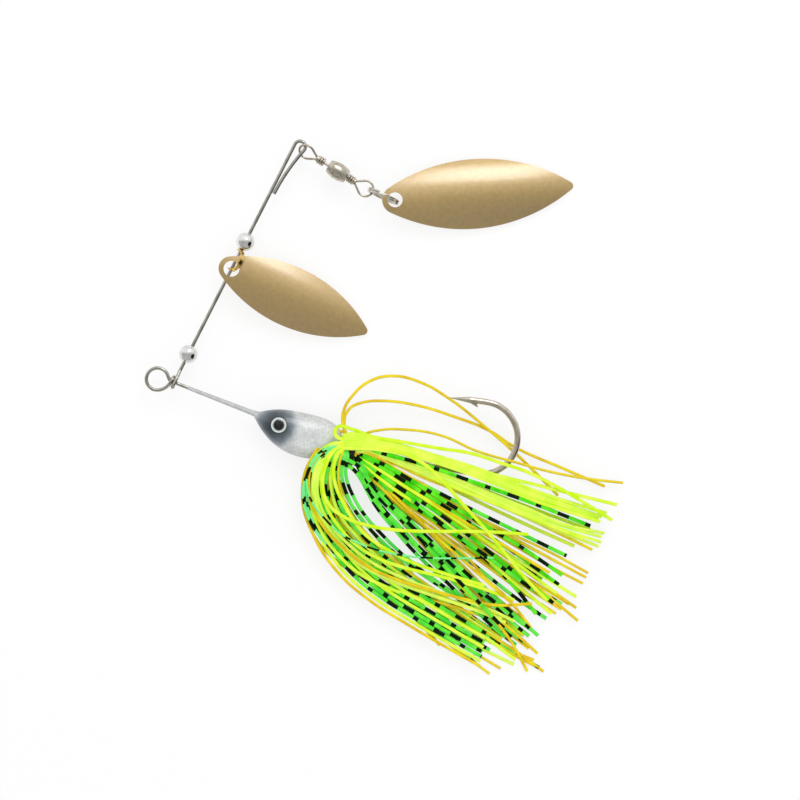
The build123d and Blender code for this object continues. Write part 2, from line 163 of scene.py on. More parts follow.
def noise(tree: Tree, place: Socket, size_mm: float, detail: float = 2.0, roughness: float = 0.5) -> Socket:
    """Add noise.

    Args:
        tree: Node tree of the material.
        place: Place that it is read at.
        size_mm: Size of its patches, in mm.
        detail: Number of finer layers on top.
        roughness: Strength of the finer layers.

    Returns:
        The noise, from 0 to 1.
    """
    inputs = {"Scale": per_metre(size_mm), "Detail": detail, "Roughness": roughness, "Vector": place}
    return add_node(tree, "ShaderNodeTexNoise", inputs=inputs).outputs["Fac"]


def remap(
    tree: Tree, value: Socket, source: Ends = (0.0, 1.0), result: Ends = (0.0, 1.0), smooth: bool = False
) -> Socket:
    """Carry a value from one range to another.

    Args:
        tree: Node tree of the material.
        value: The value.
        source: Ends of the range that it has.
        result: What the ends become.
        smooth: Whether it eases in and out.

    Returns:
        The value in the new range.
    """
    inputs = {
        "Value": value,
        "From Min": source[0],
        "From Max": source[1],
        "To Min": result[0],
        "To Max": result[1],
    }
    settings = {"interpolation_type": "SMOOTHSTEP" if smooth else "LINEAR"}
    return add_node(tree, "ShaderNodeMapRange", settings, inputs).outputs["Result"]


def ramp(tree: Tree, share: Socket, stops: Sequence[Tuple[float, str]], kind: str = "LINEAR") -> Socket:
    """Add a colour ramp.

    Args:
        tree: Node tree of the material.
        share: Place on the ramp, from 0 to 1.
        stops: Positions from 0 to 1 and hex colours, in order.
        kind: How it goes from stop to stop.

    Returns:
        The colour at that place.
    """
    node = add_node(tree, "ShaderNodeValToRGB", inputs={"Fac": share})
    node.color_ramp.interpolation = kind
    elements = node.color_ramp.elements
    while len(elements) < len(stops):
        elements.new(1.0)
    for element, (position, code) in zip(elements, stops):
        element.position = position
        element.color = rgb(code)
    return node.outputs["Color"]


def mix(tree: Tree, share: Socket, first: Any, second: Any) -> Socket:
    """Return the first colour where share is 0 and the second where it is 1."""
    inputs = {0: share, 6: first, 7: second}
    return add_node(tree, "ShaderNodeMix", {"data_type": "RGBA"}, inputs).outputs[2]


def calc(tree: Tree, operation: str, *values: Any, clamp: bool = False) -> Socket:
    """Return the result of one operation on up to three values."""
    settings = {"operation": operation, "use_clamp": clamp}
    return add_node(tree, "ShaderNodeMath", settings, dict(enumerate(values))).outputs["Value"]


def calc_vector(tree: Tree, operation: str, *values: Any) -> bpy.types.Node:
    """Return the node for one operation on vectors."""
    return add_node(tree, "ShaderNodeVectorMath", {"operation": operation}, dict(enumerate(values)))


def relief(tree: Tree, height: Socket, strength: float, height_mm: float) -> Socket:
    """Add a fine relief.

    Args:
        tree: Node tree of the material.
        height: The height, from 0 to 1.
        strength: Share of the relief that shows.
        height_mm: Height that 1 stands for, in mm.

    Returns:
        The normals of the relief.
    """
    inputs = {"Strength": strength, "Distance": height_mm * MM, "Height": height}
    return add_node(tree, "ShaderNodeBump", inputs=inputs).outputs["Normal"]


def distance_from(tree: Tree, place: Socket, x: float, y: float) -> Socket:
    """Return the distance, in metres, from the upright line through x and y, in mm."""
    flat = calc_vector(tree, "MULTIPLY_ADD", place, (1.0, 1.0, 0.0), (-x * MM, -y * MM, 0.0))
    return calc_vector(tree, "LENGTH", flat.outputs["Vector"]).outputs["Value"]


def start_material(name: str) -> Tuple[bpy.types.Material, Tree, bpy.types.Node]:
    """Start a node material.

    Args:
        name: Name of the real material and its surface.

    Returns:
        The material, its node tree and its Principled shader.
    """
    material = bpy.data.materials.new(name)
    material.use_nodes = True
    return material, material.node_tree, material.node_tree.nodes["Principled BSDF"]


def dress(piece: bpy.types.Object, material: bpy.types.Material) -> None:
    """Give a piece one material in place of all that it has."""
    piece.data.materials.clear()
    piece.data.materials.append(material)


# ---- finishes ----------------------------------------------------------------


@dataclass(frozen=True)
class MetalFinish:
    """Plated or drawn metal with small tint and polish changes and a fine grain.

    Attributes:
        name: The real metal and its surface.
        clean: Hex colour of the clean metal.
        worn: Hex colour of its duller patches.
        roughness: Roughness where it is most polished.
        wear: How much rougher the duller patches are.
        patch_mm: Size of the patches.
        grain_mm: Size of the fine grain.
        grain_height_mm: Height of the grain.
        lacquer: Share of the metal under clear lacquer, which adds a white light of its own.
        lacquer_roughness: Roughness of the lacquer.
        lacquer_ior: How strongly the lacquer mirrors.
    """

    name: str
    clean: str
    worn: str
    roughness: float
    wear: float
    patch_mm: float
    grain_mm: float
    grain_height_mm: float
    lacquer: float = 0.0
    lacquer_roughness: float = 0.24
    lacquer_ior: float = 2.4

    def build(self) -> bpy.types.Material:
        """Build the node material."""
        material, tree, shader = start_material(self.name)
        place = own_space(tree)
        patches = noise(tree, place, self.patch_mm, detail=3.0, roughness=0.6)
        inputs = {
            "Metallic": 1.0,
            "Base Color": ramp(tree, patches, [(0.35, self.worn), (0.60, self.clean)]),
            "Roughness": remap(tree, patches, (0.35, 0.65), (self.roughness + self.wear, self.roughness)),
            "Normal": relief(tree, noise(tree, place, self.grain_mm), 0.5, self.grain_height_mm),
            "Coat Weight": self.lacquer,
            "Coat Roughness": self.lacquer_roughness,
            "Coat IOR": self.lacquer_ior,
        }
        set_inputs(shader, inputs)
        return material


# Hard-drawn stainless spring wire: even pale grey with a soft sheen.
SPRING_WIRE = MetalFinish("stainless_spring_wire_drawn", "b8b6ad", "98968c", 0.15, 0.12, 3.0, 0.35, 0.003)
# Polished nickel on a steel bead: nearly a mirror, so it shows a bright room and one dark spot.
BEAD_NICKEL = MetalFinish("steel_bead_polished_nickel", "e9e9e8", "d6d6d5", 0.04, 0.06, 2.0, 0.5, 0.001)
# Satin gold plate on stamped brass: the metal scatters light, and its lacquer adds a cream highlight.
BLADE_GOLD = MetalFinish(
    "stamped_brass_satin_gold_plate", "c3a14a", "bb9842", 0.56, 0.03, 1.2, 0.22, 0.004, lacquer=1.0
)
# Bright gold plate on the folded clevis strip: deeper colour and sharper lights than the blade.
CLEVIS_GOLD = MetalFinish("brass_strip_bright_gold_plate", "e8c778", "d6ab52", 0.12, 0.10, 1.2, 0.3, 0.002)
# Nickel plate over the brass barrel and its wire eyes: warm grey, a little dull in the twists.
SWIVEL_NICKEL = MetalFinish("brass_swivel_warm_nickel_plate", "cbc3b4", "a69d8e", 0.12, 0.10, 1.0, 0.3, 0.003)
# Bright nickel on the split ring's flat coils.
RING_NICKEL = MetalFinish("spring_steel_ring_bright_nickel", "d8d3c9", "b8b2a6", 0.08, 0.08, 1.2, 0.3, 0.002)
# Nickel on a forged carbon steel hook: glossy and warm, so its dark reflections look brown.
HOOK_NICKEL = MetalFinish("carbon_steel_hook_bright_nickel", "d2c9bb", "b9af9f", 0.09, 0.08, 2.2, 0.4, 0.002)


@dataclass(frozen=True)
class HeadPaint:
    """Sprayed powder paint on the lead head: pearl body, slate face, faint scales, clear coat.

    Attributes:
        face_x, face_y: Middle of the slate face, in mm.
        face_inner, face_outer: Radii between which the slate fades to pearl, in mm.
        wander: How far the spray edge of the face wanders, in mm.
        scale_mm: Length of one painted scale.
        scale_turn: Turn of the rows of scales, in degrees.
    """

    face_x: float = 35.2
    face_y: float = -6.2
    face_inner: float = 4.4
    face_outer: float = 7.4
    wander: float = 1.8
    scale_mm: float = 0.9
    scale_turn: float = -20.0

    def build(self) -> bpy.types.Material:
        """Build the node material."""
        material, tree, shader = start_material("lead_head_pearl_and_slate_paint")
        place = own_space(tree)
        cells = self.scales(tree, place)
        paint = self.face_over(tree, place, self.pearl(tree, place, cells))
        inputs = {
            "Base Color": paint,
            "Roughness": 0.32,
            "Coat Weight": 0.6,
            "Coat Roughness": 0.08,
            "Normal": relief(tree, cells, 0.35, 0.03),
        }
        set_inputs(shader, inputs)
        return material

    def scales(self, tree: Tree, place: Socket) -> Socket:
        """Return rows of small cells, stretched along the body."""
        turn = (0.0, 0.0, math.radians(self.scale_turn))
        inputs = {"Vector": place, "Rotation": turn, "Scale": (1.0, 0.8, 1.0)}
        stretch = add_node(tree, "ShaderNodeMapping", inputs=inputs).outputs["Vector"]
        inputs = {"Vector": stretch, "Scale": per_metre(self.scale_mm), "Randomness": 0.45}
        return add_node(tree, "ShaderNodeTexVoronoi", inputs=inputs).outputs["Distance"]

    def pearl(self, tree: Tree, place: Socket, cells: Socket) -> Socket:
        """Return the body colour: scales in two close pearl tones, with grey clouds."""
        scales = ramp(tree, cells, [(0.10, "eef0ee"), (0.75, "d4d7d5")])
        clouds = remap(tree, noise(tree, place, 5.0, 4.0, 0.65), (0.42, 0.68), (0.0, 0.45))
        return mix(tree, clouds, scales, rgb("a3a8a8"))

    def face_over(self, tree: Tree, place: Socket, body: Socket) -> Socket:
        """Return the body colour with the slate face sprayed over it, darkest in its middle."""
        edge = noise(tree, place, 2.4, detail=3.0)
        reach = distance_from(tree, place, self.face_x, self.face_y)
        blurred = calc(tree, "MULTIPLY_ADD", edge, self.wander * MM, reach)
        near, inner, outer = [(r + self.wander / 2) * MM for r in (0.0, self.face_inner, self.face_outer)]
        face = remap(tree, blurred, (inner, outer), (1.0, 0.0), smooth=True)
        tones = [(0.30, "2f373d"), (0.46, "4a545b"), (0.66, "76828a"), (0.95, "a2aaae")]
        return mix(tree, face, body, ramp(tree, remap(tree, blurred, (near, outer)), tones))


@dataclass(frozen=True)
class EyeFoilFinish:
    """Printed foil disc under the eye's dome: black pupil, silver iris, black outline, with a painted glow.

    Attributes:
        x, y: Middle of the eye, in mm.
        pupil: Radius of the pupil, in mm.
        iris: Outer radius of the iris, in mm.
        disc: Radius that the print is drawn over, in mm.
        painted_foil_glow: Strength of the emission that paints in the light the foil would catch through the
            dome; the foil is no lamp.
    """

    x: float
    y: float
    pupil: float = 1.28
    iris: float = 2.12
    disc: float = 2.5
    painted_foil_glow: float = 0.5

    def build(self) -> bpy.types.Material:
        """Build the node material."""
        material, tree, shader = start_material("printed_silver_eye_foil")
        place = own_space(tree)
        share = remap(tree, distance_from(tree, place, self.x, self.y), (0.0, self.disc * MM))
        pupil, iris = self.pupil / self.disc, self.iris / self.disc
        rings = [
            # The lighter middle of the pupil is a painted highlight.
            (0.0, "2c2a2c"),
            (pupil - 0.16, "0c0a0b"),
            (pupil - 0.02, "0c0a0b"),
            (pupil + 0.03, "969c9d"),
            (iris - 0.10, "e2e6e5"),
            (iris - 0.02, "a9b0b1"),
            (iris + 0.02, "14161a"),
        ]
        print_colour = ramp(tree, share, rings)
        inputs = {
            "Base Color": print_colour,
            # The print is also given off as emission: a painted glow in place of the light that the dome
            # keeps from the foil.
            "Emission Color": print_colour,
            "Emission Strength": self.painted_foil_glow,
            "Roughness": remap(tree, noise(tree, place, 0.25), result=(0.25, 0.55)),
        }
        set_inputs(shader, inputs)
        return material


def clear_resin() -> bpy.types.Material:
    """Clear cast epoxy over the eye: nearly invisible, with one sharp highlight."""
    material, tree, shader = start_material("clear_epoxy_dome_cast")
    clouds = noise(tree, own_space(tree), 1.5, detail=1.0)
    inputs = {
        "Base Color": rgb("fbfbf8"),
        "Roughness": remap(tree, clouds, result=(0.01, 0.05)),
        "Transmission Weight": 1.0,
        "IOR": 1.5,
    }
    set_inputs(shader, inputs)
    return material


def black_rubber() -> bpy.types.Material:
    """Moulded black rubber band: matt, with a faint bloom."""
    material, tree, shader = start_material("moulded_black_rubber")
    bloom = noise(tree, own_space(tree), 0.8, detail=4.0)
    inputs = {
        "Base Color": ramp(tree, bloom, [(0.35, "0c1010"), (0.75, "1d2322")]),
        "Roughness": 0.55,
        "Normal": relief(tree, bloom, 0.4, 0.02),
    }
    set_inputs(shader, inputs)
    return material


def wire_primer() -> bpy.types.Material:
    """The head's grey primer where it has crept along the wire in front of the nose."""
    material, tree, shader = start_material("grey_primer_over_wire")
    clouds = noise(tree, own_space(tree), 1.6, 4.0, 0.6)
    inputs = {
        "Base Color": ramp(tree, clouds, [(0.30, "b3b5b6"), (0.72, "d3d4d4")]),
        "Roughness": 0.42,
        "Coat Weight": 0.3,
        "Normal": relief(tree, clouds, 0.4, 0.03),
    }
    set_inputs(shader, inputs)
    return material


class Silicone(Enum):
    """The three skirt materials."""

    CHARTREUSE = "chartreuse"
    BARRED_GREEN = "barred_green"
    GOLD = "gold"


@dataclass(frozen=True)
class PrintedBars:
    """A long bar and a short bar in each repeat along a strand.

    Attributes:
        repeat: Length of one repeat, in mm.
        long: Length of the long bar, in mm.
        gap: Length of the gap behind the long bar, in mm.
        short: Length of the short bar, in mm.
        ink: Hex colour of the ink.
    """

    repeat: float = 15.2
    long: float = 3.5
    gap: float = 5.0
    short: float = 1.6
    ink: str = "021c04"

    def print_on(self, tree: Tree, colour: Socket) -> Socket:
        """Print the bars.

        Args:
            tree: Node tree of the material.
            colour: Colour of the bare silicone.

        Returns:
            The colour with its bars.
        """
        along = add_node(tree, "ShaderNodeAttribute", {"attribute_name": "along"}).outputs["Fac"]
        turn = calc(tree, "FRACT", calc(tree, "MULTIPLY", along, per_metre(self.repeat)))
        ends = (self.long, self.long + self.gap, self.long + self.gap + self.short)
        shares = (0.0, *[end / self.repeat for end in ends])
        stops = list(zip(shares, ("ffffff", "000000", "ffffff", "000000")))
        return mix(tree, ramp(tree, turn, stops, "CONSTANT"), colour, rgb(self.ink))


@dataclass(frozen=True)
class SiliconeFinish:
    """Cut silicone strand: soft gloss, painted light through strands on edge, a painted glow, and bars
    printed on one colour.

    Attributes:
        name: The real material.
        deep: Hex colour of its darker patches, which noise places at random.
        bright: Hex colour of its paler patches.
        through: Hex colour of the painted light that comes sideways through a strand on edge.
        painted_glow: Share of its own colour that it gives off as emission, a painted glow in place of the
            fluorescent pigment's brightness, which also lifts the strand in shade.
        bars: Bars that are printed across it.
    """

    name: str
    deep: str
    bright: str
    through: str
    painted_glow: float
    bars: Optional[PrintedBars] = None

    def build(self) -> bpy.types.Material:
        """Build the node material."""
        material, tree, shader = start_material(self.name)
        tone = noise(tree, own_space(tree), 4.0)
        tint = ramp(tree, tone, [(0.35, self.deep), (0.65, self.bright)])
        # Strands on edge get a paler colour: painted light that comes sideways through them.
        edge = add_node(tree, "ShaderNodeAttribute", {"attribute_name": "on_edge"}).outputs["Fac"]
        colour = mix(tree, edge, tint, rgb(self.through))
        if self.bars:
            colour = self.bars.print_on(tree, colour)
        inputs = {
            "Base Color": colour,
            "Roughness": 0.42,
            "Specular IOR Level": 0.08,
            # Emission of its own colour is a painted glow.
            "Emission Color": colour,
            "Emission Strength": self.painted_glow,
        }
        set_inputs(shader, inputs)
        return material


SILICONE = {
    # Fluorescent chartreuse silicone, die-cut; it is paler where a strand stands on edge, which is painted
    # light through it.
    Silicone.CHARTREUSE: SiliconeFinish("chartreuse_silicone_cut", "c6ee18", "e0fb48", "ecfc86", 0.14),
    # Green silicone with black printed bars; the mint where a strand stands on edge is painted light through
    # it.
    Silicone.BARRED_GREEN: SiliconeFinish(
        "green_silicone_cut_and_barred", "32ca0a", "6cea26", "7ef092", 0.12, PrintedBars()
    ),
    # Translucent gold silicone, denser than the other two.
    Silicone.GOLD: SiliconeFinish("gold_silicone_cut", "d6b00a", "ecd81a", "f2e04a", 0.12),
}


# ---- skirt -------------------------------------------------------------------


def evened(points: Sequence[Sequence[float]], count: int, skip: float = 0.0) -> List[Point]:
    """Space points evenly along a line.

    Args:
        points: Points of the line, in mm.
        count: How many points to return.
        skip: Length left out at the start, in mm.

    Returns:
        The points, to a tenth of a millimetre.
    """
    reached = [0.0]
    for before, after in zip(points, points[1:]):
        reached.append(reached[-1] + math.dist(before, after))
    even = []
    for i in range(count):
        goal = skip + (reached[-1] - skip) * i / (count - 1)
        k = min(max(j for j, length in enumerate(reached) if length <= goal + TINY), len(points) - 2)
        share = (goal - reached[k]) / (reached[k + 1] - reached[k])
        even.append(tuple(round(a + (b - a) * share, 1) for a, b in zip(points[k], points[k + 1])))
    return even


def rounded(stops: Sequence[Vector], first_radius: float, arc_steps: int = 24) -> List[Vector]:
    """Round the corners of a line of straight runs with arcs.

    Args:
        stops: Start, corners and end, in mm.
        first_radius: Largest radius at the first corner, in mm.
        arc_steps: Number of short chords that make an arc.

    Returns:
        Close points along the rounded line, in mm.
    """
    path = [stops[0]]
    for i, (before, corner, after) in enumerate(zip(stops, stops[1:], stops[2:])):
        arriving, leaving = corner - before, after - corner
        turn = arriving.angle(leaving)
        radius = CORNER_SHARE * min(arriving.length, leaving.length) / math.tan(turn / 2)
        if i == 0:
            radius = min(radius, first_radius)
        arriving.normalize()
        leaving.normalize()
        start = corner - arriving * radius * math.tan(turn / 2)
        centre = corner + (leaving - arriving).normalized() * radius / math.cos(turn / 2)
        for step in range(arc_steps + 1):
            angle = turn * step / arc_steps
            path.append(centre + (start - centre) * math.cos(angle) + arriving * radius * math.sin(angle))
    path.append(stops[-1])
    return path


class Way(Enum):
    """Which end of the band a strand comes out of."""

    FRONT = -1
    REAR = 1


@dataclass(frozen=True)
class Spray:
    """A family of strands that fan out between two guide strands.

    Attributes:
        name: What the family is.
        way: End of the band that it leaves.
        seats: Angles on the neck of the first and last strand, in degrees from the back.
        colours: One letter a strand: c chartreuse, g barred green, y gold.
        spread: How far a strand wanders from its guide at its tip, in mm.
        flat: How flat the strands lie, from 1, flat, to 0, on edge.
        first: Guide points of the first strand, in mm.
        last: Guide points of the last strand, in mm. A family of one strand has none.
    """

    name: str
    way: Way
    seats: Ends
    colours: str
    spread: float
    flat: float
    first: Sequence[Point]
    last: Sequence[Point] = ()


@dataclass(frozen=True)
class UnderSpray(Spray):
    """A family of the under layer, which lies where the part's own skirt solids lie.

    Its guides start at the seats of two of the solids and round their points with arcs.

    Attributes:
        solids: Numbers of the two solids, counted round the neck from the back.
        points: Number of guide points that a strand gets.
    """

    solids: Tuple[int, int] = (0, 0)
    points: int = 9


LETTERS = {"c": Silicone.CHARTREUSE, "g": Silicone.BARRED_GREEN, "y": Silicone.GOLD}

# Width of a strand, in mm.
WIDTHS = {Silicone.CHARTREUSE: 0.98, Silicone.BARRED_GREEN: 1.1, Silicone.GOLD: 0.86}

# Guide points are listed from the band to the tip.
SPRAYS = (
    # Upper right of the rear fan.
    Spray(
        "rear_top", Way.FRONT, (50, 80), "cccccc", 0.5, 0.8,
        (
            (54.6, -5.4, 4.7), (56.7, -4.7, 4.9), (60.4, -4.5, 4.8), (69.1, -5.1, 4.4), (78.9, -6.1, 3.8),
            (89.4, -7.2, 3.0), (99.5, -8.9, 2.2), (111.3, -11.2, 1.0), (121.6, -12.6, -0.2),
            (130.0, -13.5, -1.0),
        ),
        (
            (54.6, -8.8, 4.8), (57.1, -8.3, 5.0), (61.6, -7.7, 5.0), (70.6, -7.4, 4.5), (82.2, -8.0, 3.6),
            (94.0, -10.0, 2.6), (105.8, -12.0, 1.4), (116.1, -13.7, 0.2), (124.8, -14.8, -0.8),
            (129.3, -15.7, -1.3),
        ),
    ),
    Spray(
        "rear_barred", Way.REAR, (75, 75), "g", 0.1, 1.0,
        (
            (59.8, -7.5, 4.4), (65.1, -8.2, 4.4), (73.8, -8.8, 4.0), (82.5, -9.8, 3.6), (94.9, -11.7, 2.8),
            (102.2, -12.8, 2.2), (109.9, -14.0, 1.4), (117.5, -15.4, 0.4), (127.0, -17.2, -1.2),
        ),
    ),
    Spray(
        "rear_bright", Way.REAR, (70, 100), "ccccc", 0.9, 0.6,
        (
            (62.7, -7.8, 4.0), (73.8, -9.0, 3.4), (85.6, -10.8, 2.6), (97.5, -13.3, 1.6),
            (109.3, -15.5, 0.6), (121.2, -18.1, -0.6), (131.5, -18.1, -1.8),
        ),
        (
            (62.4, -9.0, 3.4), (74.2, -11.0, 2.6), (86.0, -13.2, 1.8), (97.9, -15.8, 0.6),
            (109.9, -18.6, -0.8), (120.3, -20.8, -2.0), (131.2, -22.7, -3.2),
        ),
    ),
    Spray(
        "rear_gold", Way.REAR, (100, 100), "y", 0.1, 0.8,
        (
            (65.4, -9.8, 2.6), (80.3, -13.2, 1.6), (95.0, -15.5, 0.6), (106.9, -18.0, -0.6),
            (118.9, -21.1, -2.0), (129.2, -23.9, -3.2),
        ),
    ),
    Spray(
        "small_loop", Way.FRONT, (40, 40), "c", 0.0, 1.0,
        (
            (54.8, -6.7, 4.3), (52.0, -5.6, 4.8), (52.2, -3.5, 5.0), (56.2, -3.3, 5.0), (62.0, -4.2, 4.9),
            (70.0, -4.1, 4.9), (81.4, -3.9, 4.4), (89.9, -3.6, 4.0), (99.2, -4.7, 3.6), (106.8, -5.8, 3.0),
            (114.1, -7.8, 2.2), (122.6, -10.7, 1.2), (132.5, -14.5, 0.0),
        ),
    ),
    Spray(
        "rear_diver", Way.REAR, (70, 70), "c", 0.0, 1.0,
        (
            (63.7, -7.0, 4.7), (70.0, -6.9, 4.8), (74.1, -7.8, 4.9), (78.4, -9.3, 4.8), (85.0, -13.7, 4.4),
            (91.0, -18.3, 4.0), (98.4, -23.9, 3.4), (105.9, -30.2, 2.6), (113.3, -36.2, 1.8),
            (118.9, -39.9, 1.0),
        ),
    ),
    # Middle of the rear fan.
    Spray(
        "fan_gold_high", Way.REAR, (95, 100), "yyy", 0.2, 0.6,
        (
            (61.2, -8.9, 3.6), (74.3, -13.2, 2.6), (83.8, -16.5, 1.8), (96.1, -21.0, 0.8),
            (108.2, -24.3, -0.4), (119.0, -27.1, -1.6), (128.7, -30.3, -2.6),
        ),
        (
            (60.9, -10.1, 3.0), (74.7, -14.9, 2.0), (84.2, -18.4, 1.2), (96.5, -22.9, 0.2),
            (108.7, -27.4, -1.0), (118.6, -30.9, -2.0), (128.3, -33.8, -3.0),
        ),
    ),
    Spray(
        "fan_green", Way.REAR, (100, 122), "ggcgc", 0.15, 1.0,
        (
            (59.6, -9.2, 4.0), (64.4, -10.6, 3.8), (71.4, -12.9, 3.4), (78.8, -15.6, 2.8),
            (85.9, -18.4, 2.2), (92.0, -20.6, 1.8), (99.4, -23.5, 1.2), (107.4, -26.2, 0.4),
            (114.2, -29.1, -0.6), (121.7, -32.5, -1.8),
        ),
        (
            (59.1, -11.3, 3.4), (63.3, -13.7, 3.1), (70.6, -17.4, 2.6), (77.7, -20.3, 2.1),
            (84.6, -23.2, 1.6), (90.8, -26.3, 1.1), (97.3, -29.9, 0.5), (105.0, -34.6, -0.4),
            (111.8, -38.5, -1.2), (121.0, -43.5, -2.8),
        ),
    ),
    Spray(
        "fan_green_low", Way.REAR, (125, 125), "g", 0.1, 1.0,
        (
            (59.2, -11.9, 3.0), (63.1, -14.3, 2.6), (70.4, -18.0, 2.0), (77.6, -21.4, 1.4),
            (85.1, -24.5, 0.8), (91.4, -27.6, 0.3), (97.1, -30.5, -0.2), (103.2, -33.9, -0.8),
            (109.5, -38.3, -1.7), (116.9, -44.6, -3.0),
        ),
    ),
    Spray(
        "fan_gold", Way.REAR, (110, 135), "ygyyg", 0.4, 0.7,
        (
            (60.8, -12.7, 2.4), (69.8, -17.5, 1.6), (82.1, -22.3, 0.6), (94.6, -27.8, -0.6),
            (106.9, -32.6, -1.8), (117.7, -36.7, -2.8), (125.7, -39.7, -3.4),
        ),
        (
            (60.5, -14.2, 1.8), (67.2, -19.2, 1.0), (76.7, -24.2, 0.2), (87.8, -29.4, -0.8),
            (98.8, -35.0, -1.8), (109.9, -40.8, -2.8), (120.8, -45.5, -3.6),
        ),
    ),
    Spray(
        "fan_tips", Way.REAR, (105, 115), "yyc", 0.2, 0.8,
        (
            (61.1, -11.2, 2.4), (71.1, -15.6, 1.8), (84.9, -22.3, 0.6), (97.5, -28.4, -0.4),
            (110.0, -33.7, -1.6), (119.6, -39.2, -2.6), (128.9, -44.3, -3.6),
        ),
        (
            (61.0, -10.7, 2.8), (72.1, -14.8, 2.2), (84.6, -20.4, 1.2), (97.1, -25.9, 0.2),
            (107.9, -30.4, -0.8), (118.1, -34.4, -1.8), (127.0, -37.8, -2.8),
        ),
    ),
    Spray(
        "gold_across_fan", Way.REAR, (140, 140), "y", 0.0, 0.8,
        (
            (59.9, -13.7, 1.6), (64.5, -16.8, 1.4), (70.0, -20.1, 1.2), (78.6, -24.9, 1.0),
            (86.1, -28.1, 0.8), (93.6, -31.7, 0.4), (101.0, -37.4, -0.4), (107.5, -41.3, -1.2),
            (116.3, -48.7, -2.6),
        ),
    ),
    # The green group between the fans.
    Spray(
        "middle_green", Way.REAR, (110, 140), "gggg", 0.5, 0.8,
        (
            (60.1, -11.7, 3.6), (62.4, -14.7, 3.8), (64.6, -17.4, 4.0), (70.6, -21.7, 3.4),
            (77.3, -25.5, 2.8), (84.1, -29.9, 2.2), (90.6, -34.0, 1.4), (97.8, -38.3, 0.4),
            (106.1, -43.0, -1.0), (113.9, -47.8, -2.2), (118.7, -50.5, -3.2),
        ),
        (
            (59.1, -12.8, 3.2), (60.5, -15.3, 3.4), (63.2, -18.8, 3.6), (66.9, -23.2, 3.0),
            (71.6, -27.2, 2.4), (76.7, -31.3, 1.8), (83.0, -35.8, 1.0), (90.8, -40.5, -0.2),
            (98.0, -45.4, -1.6), (105.8, -50.5, -2.8), (113.4, -54.4, -3.8),
        ),
    ),
    Spray(
        "middle_edge", Way.REAR, (130, 150), "yyy", 0.4, 0.7,
        (
            (59.0, -10.8, 2.6), (62.9, -14.6, 2.2), (68.6, -19.2, 1.6), (75.1, -22.8, 1.2),
            (81.5, -26.7, 0.8), (88.5, -31.9, 0.2), (96.4, -37.2, -0.8), (106.1, -43.3, -2.2),
            (115.1, -48.1, -3.2),
        ),
        (
            (58.7, -12.3, 2.0), (61.6, -16.8, 1.6), (67.3, -22.3, 1.2), (74.0, -27.8, 0.8),
            (81.4, -33.5, 0.2), (90.0, -39.3, -1.0), (99.0, -44.9, -2.4), (108.8, -51.0, -3.4),
            (115.8, -54.8, -4.0),
        ),
    ),
    Spray(
        "steep_gold", Way.REAR, (150, 150), "y", 0.0, 0.9,
        (
            (59.0, -12.2, 2.0), (64.7, -17.9, 1.6), (72.5, -24.4, 1.2), (82.5, -31.9, 0.8),
            (92.5, -39.3, 0.4), (102.1, -45.8, -0.4), (108.8, -51.0, -1.6), (113.0, -55.3, -2.8),
            (117.6, -61.0, -4.2),
        ),
    ),
    Spray(
        "middle_gold_tip", Way.REAR, (145, 145), "y", 0.0, 0.9,
        (
            (58.9, -11.7, 1.8), (63.9, -17.0, 1.4), (71.5, -23.5, 1.0), (80.8, -30.5, 0.4),
            (92.4, -38.8, -0.4), (105.8, -47.3, -1.6), (112.8, -51.4, -2.8), (119.4, -55.5, -4.0),
        ),
    ),
    Spray(
        "over_band", Way.FRONT, (85, 100), "gg", 0.15, 0.9,
        (
            (54.9, -10.1, 4.2), (56.1, -11.6, 4.7), (57.9, -12.3, 4.8), (60.1, -13.1, 4.6),
            (62.8, -15.7, 4.4), (67.3, -19.7, 3.9), (74.5, -24.6, 3.3), (82.4, -29.6, 2.5),
            (90.2, -34.7, 1.5), (100.6, -41.2, -0.1), (110.1, -46.2, -1.6), (117.0, -49.4, -2.8),
        ),
        (
            (54.5, -11.1, 3.6), (55.7, -12.6, 4.1), (57.6, -13.5, 4.2), (59.5, -14.7, 4.1),
            (61.7, -17.1, 4.0), (65.9, -21.4, 3.5), (72.1, -26.5, 2.9), (78.7, -31.5, 2.1),
            (86.6, -36.5, 1.2), (96.3, -42.6, -0.4), (105.8, -47.6, -1.8), (113.5, -51.8, -3.2),
        ),
    ),
    # The bunch that leaves the band forwards and curls back under the head.
    Spray(
        "outer_mint", Way.FRONT, (60, 75), "gggg", 0.35, 0.0,
        (
            (53.7, -8.1, 4.8), (48.8, -10.8, 4.8), (46.4, -16.1, 4.4), (45.9, -21.9, 3.6),
            (47.0, -26.8, 2.6), (49.6, -31.2, 1.0), (53.1, -34.7, 0.2), (58.7, -38.5, -0.8),
            (64.5, -41.9, -1.8), (70.1, -45.7, -2.6), (76.4, -49.0, -3.2), (82.7, -52.1, -3.7),
            (90.1, -54.7, -4.1), (96.3, -57.4, -4.3), (103.7, -61.4, -4.4),
        ),
        (
            (54.1, -8.9, 4.2), (50.1, -11.9, 4.0), (47.9, -16.6, 3.4), (47.3, -22.5, 2.4),
            (48.9, -27.9, 1.4), (52.1, -32.4, 0.4), (57.5, -36.7, -0.5), (63.4, -40.5, -1.5),
            (68.6, -44.0, -2.3), (76.1, -47.1, -3.0), (83.5, -50.2, -3.6), (92.0, -52.9, -4.0),
            (101.0, -55.1, -4.3),
        ),
    ),
    Spray(
        "outer_gold", Way.FRONT, (80, 80), "y", 0.0, 0.8,
        (
            (53.6, -10.7, 2.4), (50.1, -16.2, 1.4), (48.4, -23.7, 0.2), (49.3, -30.9, -1.0),
            (52.9, -36.5, -2.0), (58.8, -40.5, -2.4), (66.3, -43.6, -2.2), (73.7, -45.3, -1.8),
